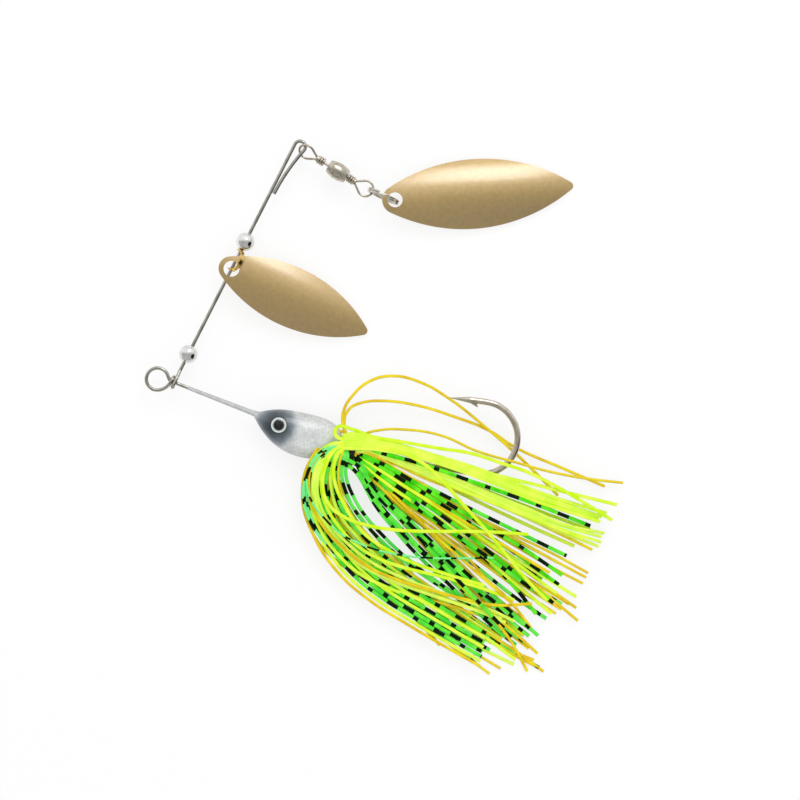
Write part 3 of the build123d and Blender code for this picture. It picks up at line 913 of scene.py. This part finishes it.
            (82.7, -46.1, -1.6), (92.6, -46.8, -1.8), (101.3, -47.9, -2.2),
        ),
    ),
    Spray(
        "lowest_gold", Way.FRONT, (110, 120), "yyc", 0.3, 0.7,
        (
            (52.4, -10.6, 3.0), (49.0, -16.4, 1.2), (48.3, -24.6, -0.8), (51.6, -32.5, -2.2),
            (58.7, -39.7, -3.2), (68.8, -45.1, -3.8), (79.0, -50.5, -4.2), (91.6, -56.6, -4.4),
            (107.0, -63.9, -4.4),
        ),
        (
            (53.0, -10.5, 3.0), (50.1, -16.2, 1.2), (49.7, -24.3, -0.8), (53.2, -32.2, -2.2),
            (60.2, -38.8, -3.2), (70.3, -43.7, -3.8), (81.0, -49.0, -4.2), (95.8, -54.7, -4.4),
            (113.9, -59.7, -4.4),
        ),
    ),
    Spray(
        "bunch_green", Way.FRONT, (85, 150), "gcggcgygg", 0.7, 0.7,
        (
            (53.5, -9.0, 3.8), (49.4, -12.4, 3.2), (47.8, -17.8, 2.2), (48.2, -24.0, 1.2),
            (50.6, -29.2, 0.4), (54.6, -33.6, -0.4), (60.0, -37.7, -1.2), (66.4, -41.6, -2.0),
            (74.5, -45.1, -2.8), (85.0, -48.8, -3.4), (96.0, -52.9, -4.0), (106.4, -56.6, -4.4),
        ),
        (
            (56.0, -9.7, 4.6), (55.9, -12.5, 4.2), (57.0, -16.6, 3.6), (59.6, -21.2, 2.8),
            (62.6, -24.9, 2.2), (66.4, -28.2, 1.6), (72.4, -32.4, 0.8), (77.6, -35.7, 0.2),
            (84.2, -39.2, -0.6), (92.4, -42.8, -1.6), (101.8, -47.5, -2.6), (109.7, -51.4, -3.4),
        ),
    ),
    Spray(
        "bunch_gold", Way.FRONT, (110, 140), "yygy", 0.4, 0.8,
        (
            (54.2, -9.4, 3.2), (52.4, -13.5, 2.4), (52.7, -20.6, 1.2), (55.4, -27.2, 0.2),
            (60.6, -33.3, -0.8), (68.5, -38.9, -1.8), (78.2, -43.3, -2.6), (88.7, -47.5, -3.2),
            (99.3, -52.0, -3.8), (109.2, -56.1, -4.3), (118.7, -58.2, -4.4),
        ),
        (
            (55.5, -10.0, 3.2), (54.8, -14.2, 2.4), (55.6, -20.9, 1.2), (59.1, -27.0, 0.4),
            (64.7, -32.8, -0.4), (73.3, -38.5, -1.4), (83.3, -43.4, -2.2), (94.5, -48.1, -3.0),
            (103.8, -52.0, -3.6), (112.5, -55.4, -4.1), (122.2, -60.1, -4.4),
        ),
    ),
    Spray(
        "curl_high", Way.FRONT, (60, 60), "c", 0.0, 1.0,
        (
            (55.6, -8.0, 4.9), (53.7, -11.2, 4.9), (53.4, -15.6, 4.7), (55.1, -20.1, 4.4),
            (57.9, -24.1, 4.0), (61.6, -28.3, 3.6), (66.6, -32.1, 3.2), (73.4, -34.8, 2.7),
            (80.9, -36.8, 2.2), (90.3, -38.1, 1.6), (100.8, -39.2, 0.8),
        ),
    ),
    Spray(
        "curl_second", Way.FRONT, (65, 65), "c", 0.0, 1.0,
        (
            (55.3, -7.8, 4.9), (51.6, -10.8, 4.8), (50.5, -15.6, 4.4), (51.0, -20.9, 4.0),
            (53.4, -25.8, 3.6), (57.8, -30.7, 3.2), (63.1, -34.5, 2.8), (69.9, -37.2, 2.3),
            (77.8, -38.5, 1.9), (88.2, -39.0, 1.4), (98.6, -39.9, 0.8), (109.8, -41.7, -0.2),
        ),
    ),
    Spray(
        "curl_mass", Way.FRONT, (60, 95), "cccc", 1., 0.6,
        (
            (54.4, -7.4, 4.7), (49.5, -10.3, 4.4), (47.6, -15.0, 3.8), (47.9, -20.9, 3.0),
            (49.9, -26.8, 2.2), (53.9, -32.6, 1.4), (59.3, -37.2, 0.8), (65.2, -41.2, 0.2),
            (73.7, -43.9, -0.3), (82.6, -45.6, -0.8), (92.1, -47.1, -1.3), (100.2, -48.1, -1.8),
            (109.0, -49.0, -2.2),
        ),
        (
            (55.1, -8.4, 4.4), (51.0, -11.8, 4.2), (49.3, -16.4, 3.6), (49.5, -21.8, 3.0),
            (51.9, -27.0, 2.4), (56.3, -31.8, 1.8), (61.9, -35.9, 1.3), (68.9, -39.4, 0.8),
            (76.7, -41.6, 0.4), (86.2, -43.4, 0.0), (95.0, -44.6, -0.5), (103.3, -46.1, -1.2),
            (109.9, -48.0, -1.9),
        ),
    ),
    Spray(
        "curl_greenish", Way.FRONT, (70, 70), "y", 0.0, 0.9,
        (
            (54.7, -7.6, 4.7), (49.9, -10.6, 4.6), (47.3, -15.0, 4.2), (47.2, -20.2, 3.6),
            (49.1, -25.8, 3.0), (53.3, -31.3, 2.4), (59.7, -36.0, 1.9), (67.3, -40.0, 1.5),
            (75.7, -42.1, 1.1), (86.2, -43.4, 0.7), (94.9, -44.0, 0.3), (104.9, -44.1, -0.2),
            (115.0, -41.8, -0.6),
        ),
    ),
    Spray(
        "curl_low", Way.FRONT, (85, 85), "c", 0.0, 0.9,
        (
            (54.2, -7.7, 4.4), (49.0, -10.7, 4.0), (46.9, -16.0, 3.2), (47.2, -21.6, 2.4),
            (49.5, -27.7, 1.6), (53.5, -33.5, 0.8), (59.0, -38.5, 0.2), (65.2, -42.4, -0.4),
            (74.5, -45.1, -1.0), (85.2, -47.0, -1.6), (94.9, -50.0, -2.3), (104.8, -54.1, -3.0),
            (113.6, -58.4, -3.6),
        ),
    ),
    Spray(
        "crossing_bright", Way.FRONT, (55, 55), "c", 0.0, 1.0,
        (
            (55.2, -7.2, 5.0), (52.6, -10.0, 5.1), (51.0, -15.2, 5.1), (51.4, -20.8, 4.9),
            (53.8, -24.9, 4.8), (58.3, -27.5, 4.6), (65.1, -28.7, 4.4), (73.6, -28.5, 4.1),
            (83.0, -27.1, 3.7), (92.9, -25.2, 3.2), (102.3, -23.7, 2.6), (110.1, -22.8, 2.0),
        ),
    ),
    Spray(
        "crossing_barred", Way.FRONT, (70, 70), "g", 0.0, 0.0,
        (
            (53.7, -8.1, 4.7), (48.6, -11.4, 4.7), (46.5, -16.6, 4.5), (47.2, -21.9, 4.3),
            (50.0, -26.2, 4.1), (54.5, -29.9, 3.9), (58.7, -32.5, 3.7), (63.2, -33.9, 3.5),
            (69.2, -35.0, 3.3), (77.7, -35.1, 3.1), (85.3, -34.3, 2.8), (93.8, -32.7, 2.4),
            (101.8, -31.1, 2.0),
        ),
    ),
    # Long gold loops.
    Spray(
        "gold_loop_high", Way.FRONT, (10, 10), "y", 0.0, 0.8,
        (
            (53.5, -2.7, -0.5), (52.9, 1.4, -1.0), (54.4, 5.7, -1.4), (58.5, 10.8, -1.6),
            (64.3, 13.4, -1.6), (72.3, 13.2, -1.6), (80.6, 10.5, -1.7), (94.2, 3.5, -1.9),
            (103.8, -2.1, -2.6), (116.6, -10.7, -3.4),
        ),
    ),
    Spray(
        "gold_loop_middle", Way.FRONT, (0, 0), "y", 0.0, 0.8,
        (
            (53.6, -1.8, -1.0), (54.3, 2.0, -1.6), (57.0, 4.2, -2.0), (62.9, 6.0, -2.2), (73.6, 6.6, -2.4),
            (82.9, 5.6, -2.6), (94.2, 3.5, -2.9), (101.9, 0.4, -3.2), (116.8, -3.0, -3.6),
            (129.1, -5.7, -4.0),
        ),
    ),
    Spray(
        "gold_loop_low", Way.REAR, (30, 30), "y", 0.0, 0.5,
        (
            (60.0, -4.0, 3.2), (63.9, -2.1, 3.4), (69.4, -0.8, 3.2), (80.7, -0.3, 2.8), (91.7, -2.7, 2.2),
            (102.7, -3.7, 1.8), (113.4, -4.5, 0.4), (124.2, -4.4, -1.4), (133.8, -3.7, -3.0),
        ),
    ),
    # Under layer.
    UnderSpray(
        "under_front_high", Way.FRONT, (20, 160), "ycggcgcg", 0.0, 0.9,
        (
            (49.8, -6.6, 4.4), (46.0, -14.5, 3.6), (46.0, -28.6, 0.8), (61.0, -45.8, -0.6),
            (82.0, -54.4, -1.0), (104.0, -61.8, -1.6),
        ),
        (
            (53.6, -15.9, 1.5), (55.4, -20.6, 0.6), (56.0, -28.0, -0.6), (69.5, -40.5, -1.3),
            (104.0, -52.5, -1.6),
        ),
        solids=(0, 7), points=9,
    ),
    UnderSpray(
        "under_front_middle", Way.FRONT, (190, 250), "cgcgy", 0.0, 0.9,
        ((54.3, -14.9, -1.6), (57.2, -21.5, -3.2), (67.0, -31.0, -3.6), (98.0, -52.5, -3.9)),
        ((49.2, -14.0, -3.9), (50.0, -21.0, -3.9), (60.0, -35.5, -3.9), (92.0, -58.5, -4.1)),
        solids=(8, 12), points=8,
    ),
    UnderSpray(
        "under_rear_high", Way.REAR, (20, 160), "cccgygyg", 0.0, 0.9,
        ((78.0, -7.4, 2.2), (104.0, -8.5, 1.9), (133.0, -10.0, 0.2)),
        ((70.0, -21.0, 2.2), (86.0, -34.0, 1.9), (107.0, -49.0, 0.2)),
        solids=(0, 7), points=5,
    ),
    UnderSpray(
        "under_rear_low", Way.REAR, (340, 200), "cccygygy", 0.0, 0.9,
        ((78.0, -7.4, -2.6), (104.0, -10.5, -3.3), (131.0, -13.0, -4.0)),
        ((70.0, -21.0, -2.6), (87.0, -36.0, -3.3), (106.0, -51.0, -4.0)),
        solids=(15, 8), points=5,
    ),
)


@dataclass
class Skirt:
    """The silicone skirt: strands clamped on the neck by the rubber band.

    Attributes:
        seat_x: Middle of the band, in mm.
        axis_y: Height of the neck's axis, in mm.
        seat_radius: Radius at which strands lie on the neck, in mm.
        band_half: Half of the band's length, in mm.
        thickness: Thickness of a strand, in mm.
        edge_run: Distance from the band's end to a strand's first free point, in mm.
        edge_rise: How far a strand has risen from its seat there, in mm.
        least_step: Least distance between two guide points, in mm.
        table_z: Lowest centre line of a strand that lies flat on the table, in mm.
        edge_lift: How much higher a strand on edge lies, in mm.
        seat_wander: How far a strand lies off the seat's radius, in mm.
        drift_z: Half the range of a strand's drift up or down, as a share of its family's spread.
        drift_power: How late the drift grows along a strand.
        tip_wander: How much longer a strand's last step gets, as a share of it.
        lean_share: How far a strand leans, as a share of its family's lean.
        lean_points: Number of guide points over which the lean grows.
        twist_wander: Half the range of a strand's twist at a guide point, in radians.
        bar_wander: Usual shift of a strand's bars, in mm.
        solid_count: Number of the part's own skirt solids round the neck.
        solid_grip: Straight run of a solid past the end of the band, in mm.
        solid_bend: Radius of a solid's bend beside the band, in mm.
        flare: How far in front of its seat a solid's front run opens, in mm.
        opening: How far it opens outwards there, on the upper and on the lower half, in mm.
        solid_skip: Length of a solid, from its seat, that the under layer's guides leave out, in mm.
        smooth_angle: Edges that turn less than this are shaded smooth, in degrees.
        seed: Start of the random wander.
        made: The strands made so far, by material.
    """

    seat_x: float
    axis_y: float
    seat_radius: float = 3.37
    band_half: float = 1.2
    thickness: float = 0.5
    edge_run: float = 0.3
    edge_rise: float = 0.1
    least_step: float = 1.6
    table_z: float = -4.5
    edge_lift: float = 0.3
    seat_wander: Ends = (-0.15, 0.2)
    drift_z: float = 0.5
    drift_power: float = 1.3
    tip_wander: Ends = (-0.12, 0.04)
    lean_share: Ends = (0.7, 1.0)
    lean_points: int = 3
    twist_wander: float = 0.12
    bar_wander: float = 1.0
    solid_count: int = 16
    solid_grip: float = 0.5
    solid_bend: float = 1.6
    flare: float = 3.4
    opening: Ends = (1.5, 0.75)
    solid_skip: float = 4.0
    smooth_angle: float = 50.0
    seed: int = 7
    made: Dict[Silicone, List[bpy.types.Object]] = field(default_factory=dict)

    def seat(self, angle: float, x: float, radius: float) -> Vector:
        """Return the point on the neck at an angle, from the back towards the camera side."""
        turn = math.radians(angle)
        return Vector((x, self.axis_y + radius * math.cos(turn), radius * math.sin(turn)))

    def guides(self, spray: Spray) -> Guides:
        """Return a family's two guides, with as many points on one as on the other."""
        if isinstance(spray, UnderSpray):
            first, last = [
                self.solid_run(spray, number, stops)
                for number, stops in zip(spray.solids, (spray.first, spray.last))
            ]
            return first, last
        if not spray.last:
            return spray.first, spray.first
        count = max(len(spray.first), len(spray.last))
        return evened(spray.first, count), evened(spray.last, count)

    def solid_run(self, spray: UnderSpray, number: int, stops: Sequence[Point]) -> List[Point]:
        """Lead a guide from the seat of one of the part's own skirt solids round its points.

        Args:
            spray: The family that follows it.
            number: Number of the solid, counted round the neck from the back.
            stops: Points that it rounds, and its tip, in mm.

        Returns:
            Evenly spaced guide points, in mm.
        """
        angle = 360 / self.solid_count * (number + 0.5)
        seat = self.seat(angle, self.seat_x, self.seat_radius)
        straight = self.band_half + self.solid_grip
        ahead = Vector((spray.way.value, 0.0, 0.0))
        route = [seat - ahead * straight, seat + ahead * straight]
        if spray.way is Way.FRONT:
            upper = math.sin(math.radians(angle)) > 0
            outwards = self.opening[0] if upper else self.opening[1]
            route.append(self.seat(angle, self.seat_x, self.seat_radius + outwards) + ahead * self.flare)
        route.extend(Vector(stop) for stop in stops)
        return evened(rounded(route, self.solid_bend), spray.points, straight + self.solid_skip)

    def route(self, spray: Spray, guides: Guides, share: float, wander: random.Random) -> List[Point]:
        """Return one strand's guide points.

        Args:
            spray: The family.
            guides: Guide points of the family's first and last strand, in mm.
            share: Place between the first and last guide, from 0 to 1.
            wander: Source of the small differences.

        Returns:
            Points from under the band to the tip, in mm.
        """
        angle = spray.seats[0] + (spray.seats[1] - spray.seats[0]) * share
        layer = self.seat_radius + wander.uniform(*self.seat_wander)
        edge = self.seat_x + spray.way.value * (self.band_half + self.edge_run)
        under_band = self.seat(angle, self.seat_x, layer)
        points = [tuple(under_band), tuple(self.seat(angle, edge, layer + self.edge_rise))]
        sideways = (wander.gauss(0, 1), wander.gauss(0, 1))
        drift = Vector((*sideways, wander.uniform(-self.drift_z, self.drift_z))) * spray.spread
        for i, (a, b) in enumerate(zip(*guides)):
            along = (i + 1) / len(guides[0])
            middle = Vector(a).lerp(Vector(b), share)
            if (middle - Vector(points[-1])).length > self.least_step:
                points.append(tuple(middle + drift * along**self.drift_power))
        tip, before = Vector(points[-1]), Vector(points[-2])
        points[-1] = tuple(tip + (tip - before) * wander.uniform(*self.tip_wander) * min(1.0, spray.spread))
        return [(x, y, max(z, self.lowest(spray.flat))) for x, y, z in points]

    def lowest(self, flat: float) -> float:
        """Return the lowest centre line of a strand on the table, in mm: higher for one on edge."""
        return self.table_z + self.edge_lift * math.sin((1 - flat) * math.pi / 2)

    def strand(
        self, points: Sequence[Point], width: float, flat: float, wander: random.Random
    ) -> bpy.types.Object:
        """Model one strand as a ribbon along its guide points.

        Args:
            points: Guide points, in mm.
            width: Width of the strand, in mm.
            flat: From 1, lying flat, to 0, on edge.
            wander: Source of the small differences.

        Returns:
            The strand's mesh object, with its length in metres in the attribute "along".
        """
        curve = bpy.data.curves.new("strand", "CURVE")
        curve.dimensions = "3D"
        curve.twist_mode = "Z_UP"
        curve.resolution_u = 7
        curve.use_fill_caps = True
        spline = curve.splines.new("BEZIER")
        spline.bezier_points.add(len(points) - 1)
        lean = wander.choice((-1, 1)) * wander.uniform(*self.lean_share) * (1 - flat) * math.pi / 2
        for i, (handle, point) in enumerate(zip(spline.bezier_points, points)):
            handle.co = Vector(point) * MM
            handle.handle_left_type = handle.handle_right_type = "AUTO"
            twist = wander.uniform(-self.twist_wander, self.twist_wander)
            handle.tilt = math.pi / 2 + lean * min(1.0, i / self.lean_points) + twist
        line = bpy.data.objects.new("strand", curve)
        bpy.context.scene.collection.objects.link(line)
        centre = [v.co.copy() for v in bpy.data.meshes.new_from_object(line).vertices]
        curve.bevel_depth = self.thickness / 2 * MM
        curve.extrude = (width - self.thickness) / 2 * MM
        curve.bevel_resolution = 1
        bpy.context.view_layer.update()
        mesh = bpy.data.meshes.new_from_object(line.evaluated_get(bpy.context.evaluated_depsgraph_get()))
        bpy.data.objects.remove(line)
        self.measure(mesh, centre, wander.gauss(0, self.bar_wander) * MM, 1 - flat)
        piece = bpy.data.objects.new("strand", mesh)
        bpy.context.scene.collection.objects.link(piece)
        return piece

    def measure(self, mesh: bpy.types.Mesh, centre: Sequence[Vector], offset: float, on_edge: float) -> None:
        """Write each vertex's distance along the strand, and how far it stands on edge, to attributes.

        Args:
            mesh: The strand's mesh.
            centre: Points of its centre line, in metres.
            offset: Distance at the start, in metres.
            on_edge: From 0, lying flat, to 1, on edge.
        """
        tree = KDTree(len(centre))
        reached = [offset]
        for i, point in enumerate(centre):
            tree.insert(point, i)
            if i:
                reached.append(reached[-1] + (point - centre[i - 1]).length)
        tree.balance()
        along = mesh.attributes.new("along", "FLOAT", "POINT")
        edge = mesh.attributes.new("on_edge", "FLOAT", "POINT")
        for i, vertex in enumerate(mesh.vertices):
            along.data[i].value = reached[tree.find(vertex.co)[1]]
            edge.data[i].value = on_edge

    def build(self) -> None:
        """Model every strand, and join those of one colour into one piece."""
        wander = random.Random(self.seed)
        for spray in SPRAYS:
            guides = self.guides(spray)
            count = len(spray.colours)
            for i, letter in enumerate(spray.colours):
                share = 0.5 if count == 1 else i / (count - 1)
                points = self.route(spray, guides, share, wander)
                kind = LETTERS[letter]
                piece = self.strand(points, WIDTHS[kind], spray.flat, wander)
                self.made.setdefault(kind, []).append(piece)
            LOG.info("skirt family %s: %d strands", spray.name, count)
        for kind, strands in self.made.items():
            self.join(kind, strands)

    def join(self, kind: Silicone, strands: Sequence[bpy.types.Object]) -> None:
        """Join the strands of one colour into one piece in place of the part's own solids."""
        deselect_all()
        for piece in strands:
            piece.select_set(True)
        bpy.context.view_layer.objects.active = strands[0]
        bpy.ops.object.join()
        joined = bpy.context.view_layer.objects.active
        joined.name = "skirt_strands_" + kind.value
        dress(joined, SILICONE[kind].build())
        bpy.ops.object.shade_smooth_by_angle(angle=math.radians(self.smooth_angle))
        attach(joined, "frame")
        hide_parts("skirt_" + kind.value)
        LOG.info("piece %s: %d strands", joined.name, len(strands))


# ---- head, wire and hardware ---------------------------------------------------


@dataclass
class JigHead:
    """The painted lead head with its two eyes, and the band on its neck.

    Attributes:
        nodes: The CAD nodes by name.
    """

    nodes: Dict[str, bpy.types.Object]

    def build(self) -> None:
        """Dress the head, the eyes and the band."""
        low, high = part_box("eye_foil_left")
        middle = (low + high) / 2 / MM
        foil = EyeFoilFinish(middle.x, middle.y).build()
        resin = clear_resin()
        dress(self.nodes["head_casting"], HeadPaint().build())
        for side in ("left", "right"):
            dress(self.nodes["eye_foil_" + side], foil)
            dress(self.nodes["eye_dome_" + side], resin)
        dress(self.nodes["skirt_band"], black_rubber())
        LOG.info("dressed the head, the eyes and the band")


@dataclass
class WireAndHook:
    """The bent wire with its beads and clevis, and the hook.

    Attributes:
        nodes: The CAD nodes by name.
        arm_start: Where the primer starts on the lower arm, in mm.
        arm_end: Where the lower arm enters the nose, in mm.
        thin: Radius of the primed wire at its start, in mm.
        thick: Radius just in front of the nose, in mm.
        flare: Radius where the primer meets the nose, in mm.
        flare_share: Share of the coat's length over which it flares.
        growth: How fast the coat thickens. With 1 it is thick at the nose, with more it is sooner.
        sides: Number of faces round the coat.
        cuts: Number of rings between the coat's ends.
        smooth_angle: Edges that turn less than this are shaded smooth, in degrees.
    """

    nodes: Dict[str, bpy.types.Object]
    arm_start: Point = (9.0, -0.79, 0.0)
    arm_end: Point = (29.6, -4.5, 0.0)
    thin: float = 0.52
    thick: float = 0.72
    flare: float = 0.98
    flare_share: float = 0.14
    growth: float = 1.15
    sides: int = 24
    cuts: int = 18
    smooth_angle: float = 40.0

    def build(self) -> None:
        """Dress the wire, beads, clevis and hook, and coat the lower arm."""
        dress(self.nodes["wire_frame"], SPRING_WIRE.build())
        bead = BEAD_NICKEL.build()
        dress(self.nodes["bead_lower"], bead)
        dress(self.nodes["bead_upper"], bead)
        dress(self.nodes["clevis"], CLEVIS_GOLD.build())
        dress(self.nodes["hook"], HOOK_NICKEL.build())
        self.coat_arm()
        LOG.info("dressed the wire, the beads, the clevis and the hook")

    def coat_radius(self, share: float) -> float:
        """Return the coat's radius, in mm, at a share of its length."""
        radius = self.thin + (self.thick - self.thin) * min(1.0, share * self.growth)
        flared = max(0.0, (share - (1.0 - self.flare_share)) / self.flare_share)
        return radius + (self.flare - self.thick) * flared**2

    def coat_arm(self) -> None:
        """Model the thin coat of primer on the lower arm, which flares into the nose."""
        start, end = Vector(self.arm_start), Vector(self.arm_end)
        axis = end - start
        lean = math.atan2(axis.y, axis.x)
        deselect_all()
        bpy.ops.mesh.primitive_cylinder_add(
            vertices=self.sides,
            radius=self.thin * MM,
            depth=axis.length * MM,
            location=(start + end) / 2 * MM,
            rotation=(0.0, math.pi / 2, lean),
        )
        coat = bpy.context.object
        coat.name = "nose_primer_coat"
        bpy.ops.object.transform_apply(location=True, rotation=True, scale=True)
        direction = axis.normalized()
        mesh = bmesh.new()
        mesh.from_mesh(coat.data)
        half = axis.length / 2 * MM
        long_edges = [e for e in mesh.edges if abs((e.verts[0].co - e.verts[1].co).dot(direction)) > half]
        bmesh.ops.subdivide_edges(mesh, edges=long_edges, cuts=self.cuts, use_grid_fill=False)
        for vertex in mesh.verts:
            offset = vertex.co - start * MM
            along = offset.dot(direction)
            radius = self.coat_radius(along / (axis.length * MM))
            radial = offset - direction * along
            if radial.length > TINY:
                vertex.co = start * MM + direction * along + radial.normalized() * radius * MM
        mesh.to_mesh(coat.data)
        mesh.free()
        dress(coat, wire_primer())
        bpy.ops.object.shade_smooth_by_angle(angle=math.radians(self.smooth_angle))
        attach(coat, "frame")
        LOG.info("piece %s", coat.name)


@dataclass
class Spinners:
    """The blades, the swivel and the split ring.

    Attributes:
        nodes: The CAD nodes by name.
    """

    nodes: Dict[str, bpy.types.Object]

    def build(self) -> None:
        """Dress both blades, the swivel and the ring."""
        gold = BLADE_GOLD.build()
        dress(self.nodes["blade_large"], gold)
        dress(self.nodes["blade_small"], gold)
        nickel = SWIVEL_NICKEL.build()
        for name in ("swivel_eye_top", "swivel_barrel", "swivel_eye_bottom"):
            dress(self.nodes[name], nickel)
        dress(self.nodes["split_ring"], RING_NICKEL.build())
        LOG.info("dressed the blades, the swivel and the ring")


# ---- studio ------------------------------------------------------------------


@dataclass
class Studio:
    """White table, soft sky, one soft lamp and the camera straight above.

    Attributes:
        centre: Middle of the view, in mm.
        width: Width of the view at the table, in mm.
        roll: Turn of the camera about its own line of sight, in degrees.
        lens: Focal length, in mm.
        sensor: Width of the camera's sensor, in mm.
        table_side: Side of the square table top, in metres.
        table_centre: Middle of the table top, in metres.
        floor_share: Share of the table's white that light and shadow make.
        sky: Strength of the sky.
        key: Power of the lamp, in watts.
        key_side: Side of the square lamp, in metres.
        key_place: Where the lamp hangs, in metres.
        key_aim: Point that the lamp faces, in metres.
        window: Direction of the dark window, low on the right, that metal mirrors.
        window_edge: Angles from its middle between which the window fades, in degrees.
    """

    centre: Tuple[float, float] = (67.8, 7.2)
    width: float = 224.0
    roll: float = 11.0
    lens: float = 100.0
    sensor: float = 36.0
    table_side: float = 4.0
    table_centre: Tuple[float, float] = (0.068, 0.007)
    floor_share: float = 0.20
    sky: float = 0.99
    key: float = 1.15
    key_side: float = 0.34
    key_place: Point = (0.10, 0.56, 0.52)
    key_aim: Point = (0.068, 0.0, 0.0)
    window: Point = (0.904, -0.259, 0.342)
    window_edge: Ends = (21.0, 30.0)

    def build(self, lowest: float) -> None:
        """Build the table, the sky, the lamp and the camera.

        Args:
            lowest: Height of the table, in metres.
        """
        self.table(lowest)
        self.sky_dome()
        self.lamp()
        self.camera()
        bpy.context.scene.view_settings.view_transform = "Standard"

    def table(self, lowest: float) -> None:
        """Make the white table top."""
        deselect_all()
        bpy.ops.mesh.primitive_plane_add(size=self.table_side, location=(*self.table_centre, lowest))
        floor = bpy.context.object
        floor.name = "table_top"
        material, tree, shader = start_material("white_laminate_table")
        rays = add_node(tree, "ShaderNodeLightPath").outputs
        seen = calc(tree, "ADD", rays["Is Camera Ray"], rays["Is Glossy Ray"])
        seen_all = calc(tree, "ADD", seen, rays["Is Transmission Ray"], clamp=True)
        inputs = {
            "Base Color": (self.floor_share, self.floor_share, self.floor_share, 1.0),
            "Roughness": 0.9,
            "Specular IOR Level": 0.0,
            "Emission Color": WHITE,
            "Emission Strength": calc(tree, "MULTIPLY", seen_all, 1.0 - self.floor_share),
        }
        set_inputs(shader, inputs)
        dress(floor, material)
        floor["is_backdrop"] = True

    def sky_dome(self) -> None:
        """Light the set with a pale sky, give metal a room to mirror, and show plain white."""
        world = bpy.data.worlds.new("studio_sky")
        world.use_nodes = True
        bpy.context.scene.world = world
        tree = world.node_tree
        direction = add_node(tree, "ShaderNodeTexCoord").outputs["Generated"]
        height = add_node(tree, "ShaderNodeSeparateXYZ", inputs={0: direction}).outputs["Z"]
        tones = ramp(tree, height, [(0.0, "b4b4b5"), (0.40, "dededf"), (0.75, "ffffff")])
        soft = calc_vector(tree, "SCALE", tones)
        set_inputs(soft, {"Scale": self.sky})
        rays = add_node(tree, "ShaderNodeLightPath").outputs
        lit = mix(tree, rays["Is Glossy Ray"], soft.outputs["Vector"], self.mirrored_room(tree, direction))
        through = calc(tree, "MAXIMUM", rays["Is Camera Ray"], rays["Is Transmission Ray"])
        set_inputs(tree.nodes["Background"], {"Color": mix(tree, through, lit, WHITE)})

    def mirrored_room(self, tree: Tree, direction: Socket) -> Socket:
        """Make the room that metal mirrors: white behind, greyer in front, one dark window.

        Args:
            tree: Node tree of the world.
            direction: Direction that is looked in.

        Returns:
            The colour of the room in that direction.
        """
        turn = math.radians(self.roll)
        behind = calc_vector(tree, "DOT_PRODUCT", direction, (-math.sin(turn), math.cos(turn), 0.0))
        share = remap(tree, behind.outputs["Value"], (-1.0, 1.0))
        room = ramp(tree, share, [(0.10, "bcbcbc"), (0.50, "b8b8b8"), (0.60, "e0e0e0"), (0.72, "ffffff")])
        facing = calc_vector(tree, "DOT_PRODUCT", direction, self.window).outputs["Value"]
        inner, outer = [math.cos(math.radians(angle)) for angle in self.window_edge]
        return mix(tree, remap(tree, facing, (outer, inner), smooth=True), room, rgb("24211e"))

    def lamp(self) -> None:
        """Hang one square softbox that faces the middle of the object."""
        data = bpy.data.lights.new("key_softbox", "AREA")
        data.shape = "SQUARE"
        data.size = self.key_side
        data.energy = self.key
        lamp = bpy.data.objects.new("key_softbox", data)
        lamp.location = self.key_place
        aim = Vector(self.key_aim) - Vector(self.key_place)
        lamp.rotation_euler = aim.to_track_quat("-Z", "Y").to_euler()
        bpy.context.scene.collection.objects.link(lamp)

    def camera(self) -> None:
        """Make the camera and set it as the scene's."""
        data = bpy.data.cameras.new("camera")
        data.lens = self.lens
        data.sensor_width = self.sensor
        camera = bpy.data.objects.new("camera", data)
        height = self.width * self.lens / self.sensor
        camera.location = (self.centre[0] * MM, self.centre[1] * MM, height * MM)
        camera.rotation_euler = (0.0, 0.0, math.radians(self.roll))
        bpy.context.scene.collection.objects.link(camera)
        bpy.context.scene.camera = camera


def main() -> None:
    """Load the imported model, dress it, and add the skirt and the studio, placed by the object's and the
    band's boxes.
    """
    logging.basicConfig(level=logging.INFO)
    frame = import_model()
    solid_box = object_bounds()
    nodes = frame["nodes"]
    low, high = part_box("skirt_band")
    middle = (low + high) / 2 / MM
    Studio().build(solid_box[0][2])
    WireAndHook(nodes).build()
    JigHead(nodes).build()
    Spinners(nodes).build()
    Skirt(seat_x=middle.x, axis_y=middle.y).build()


if __name__ == "__main__":
    main()
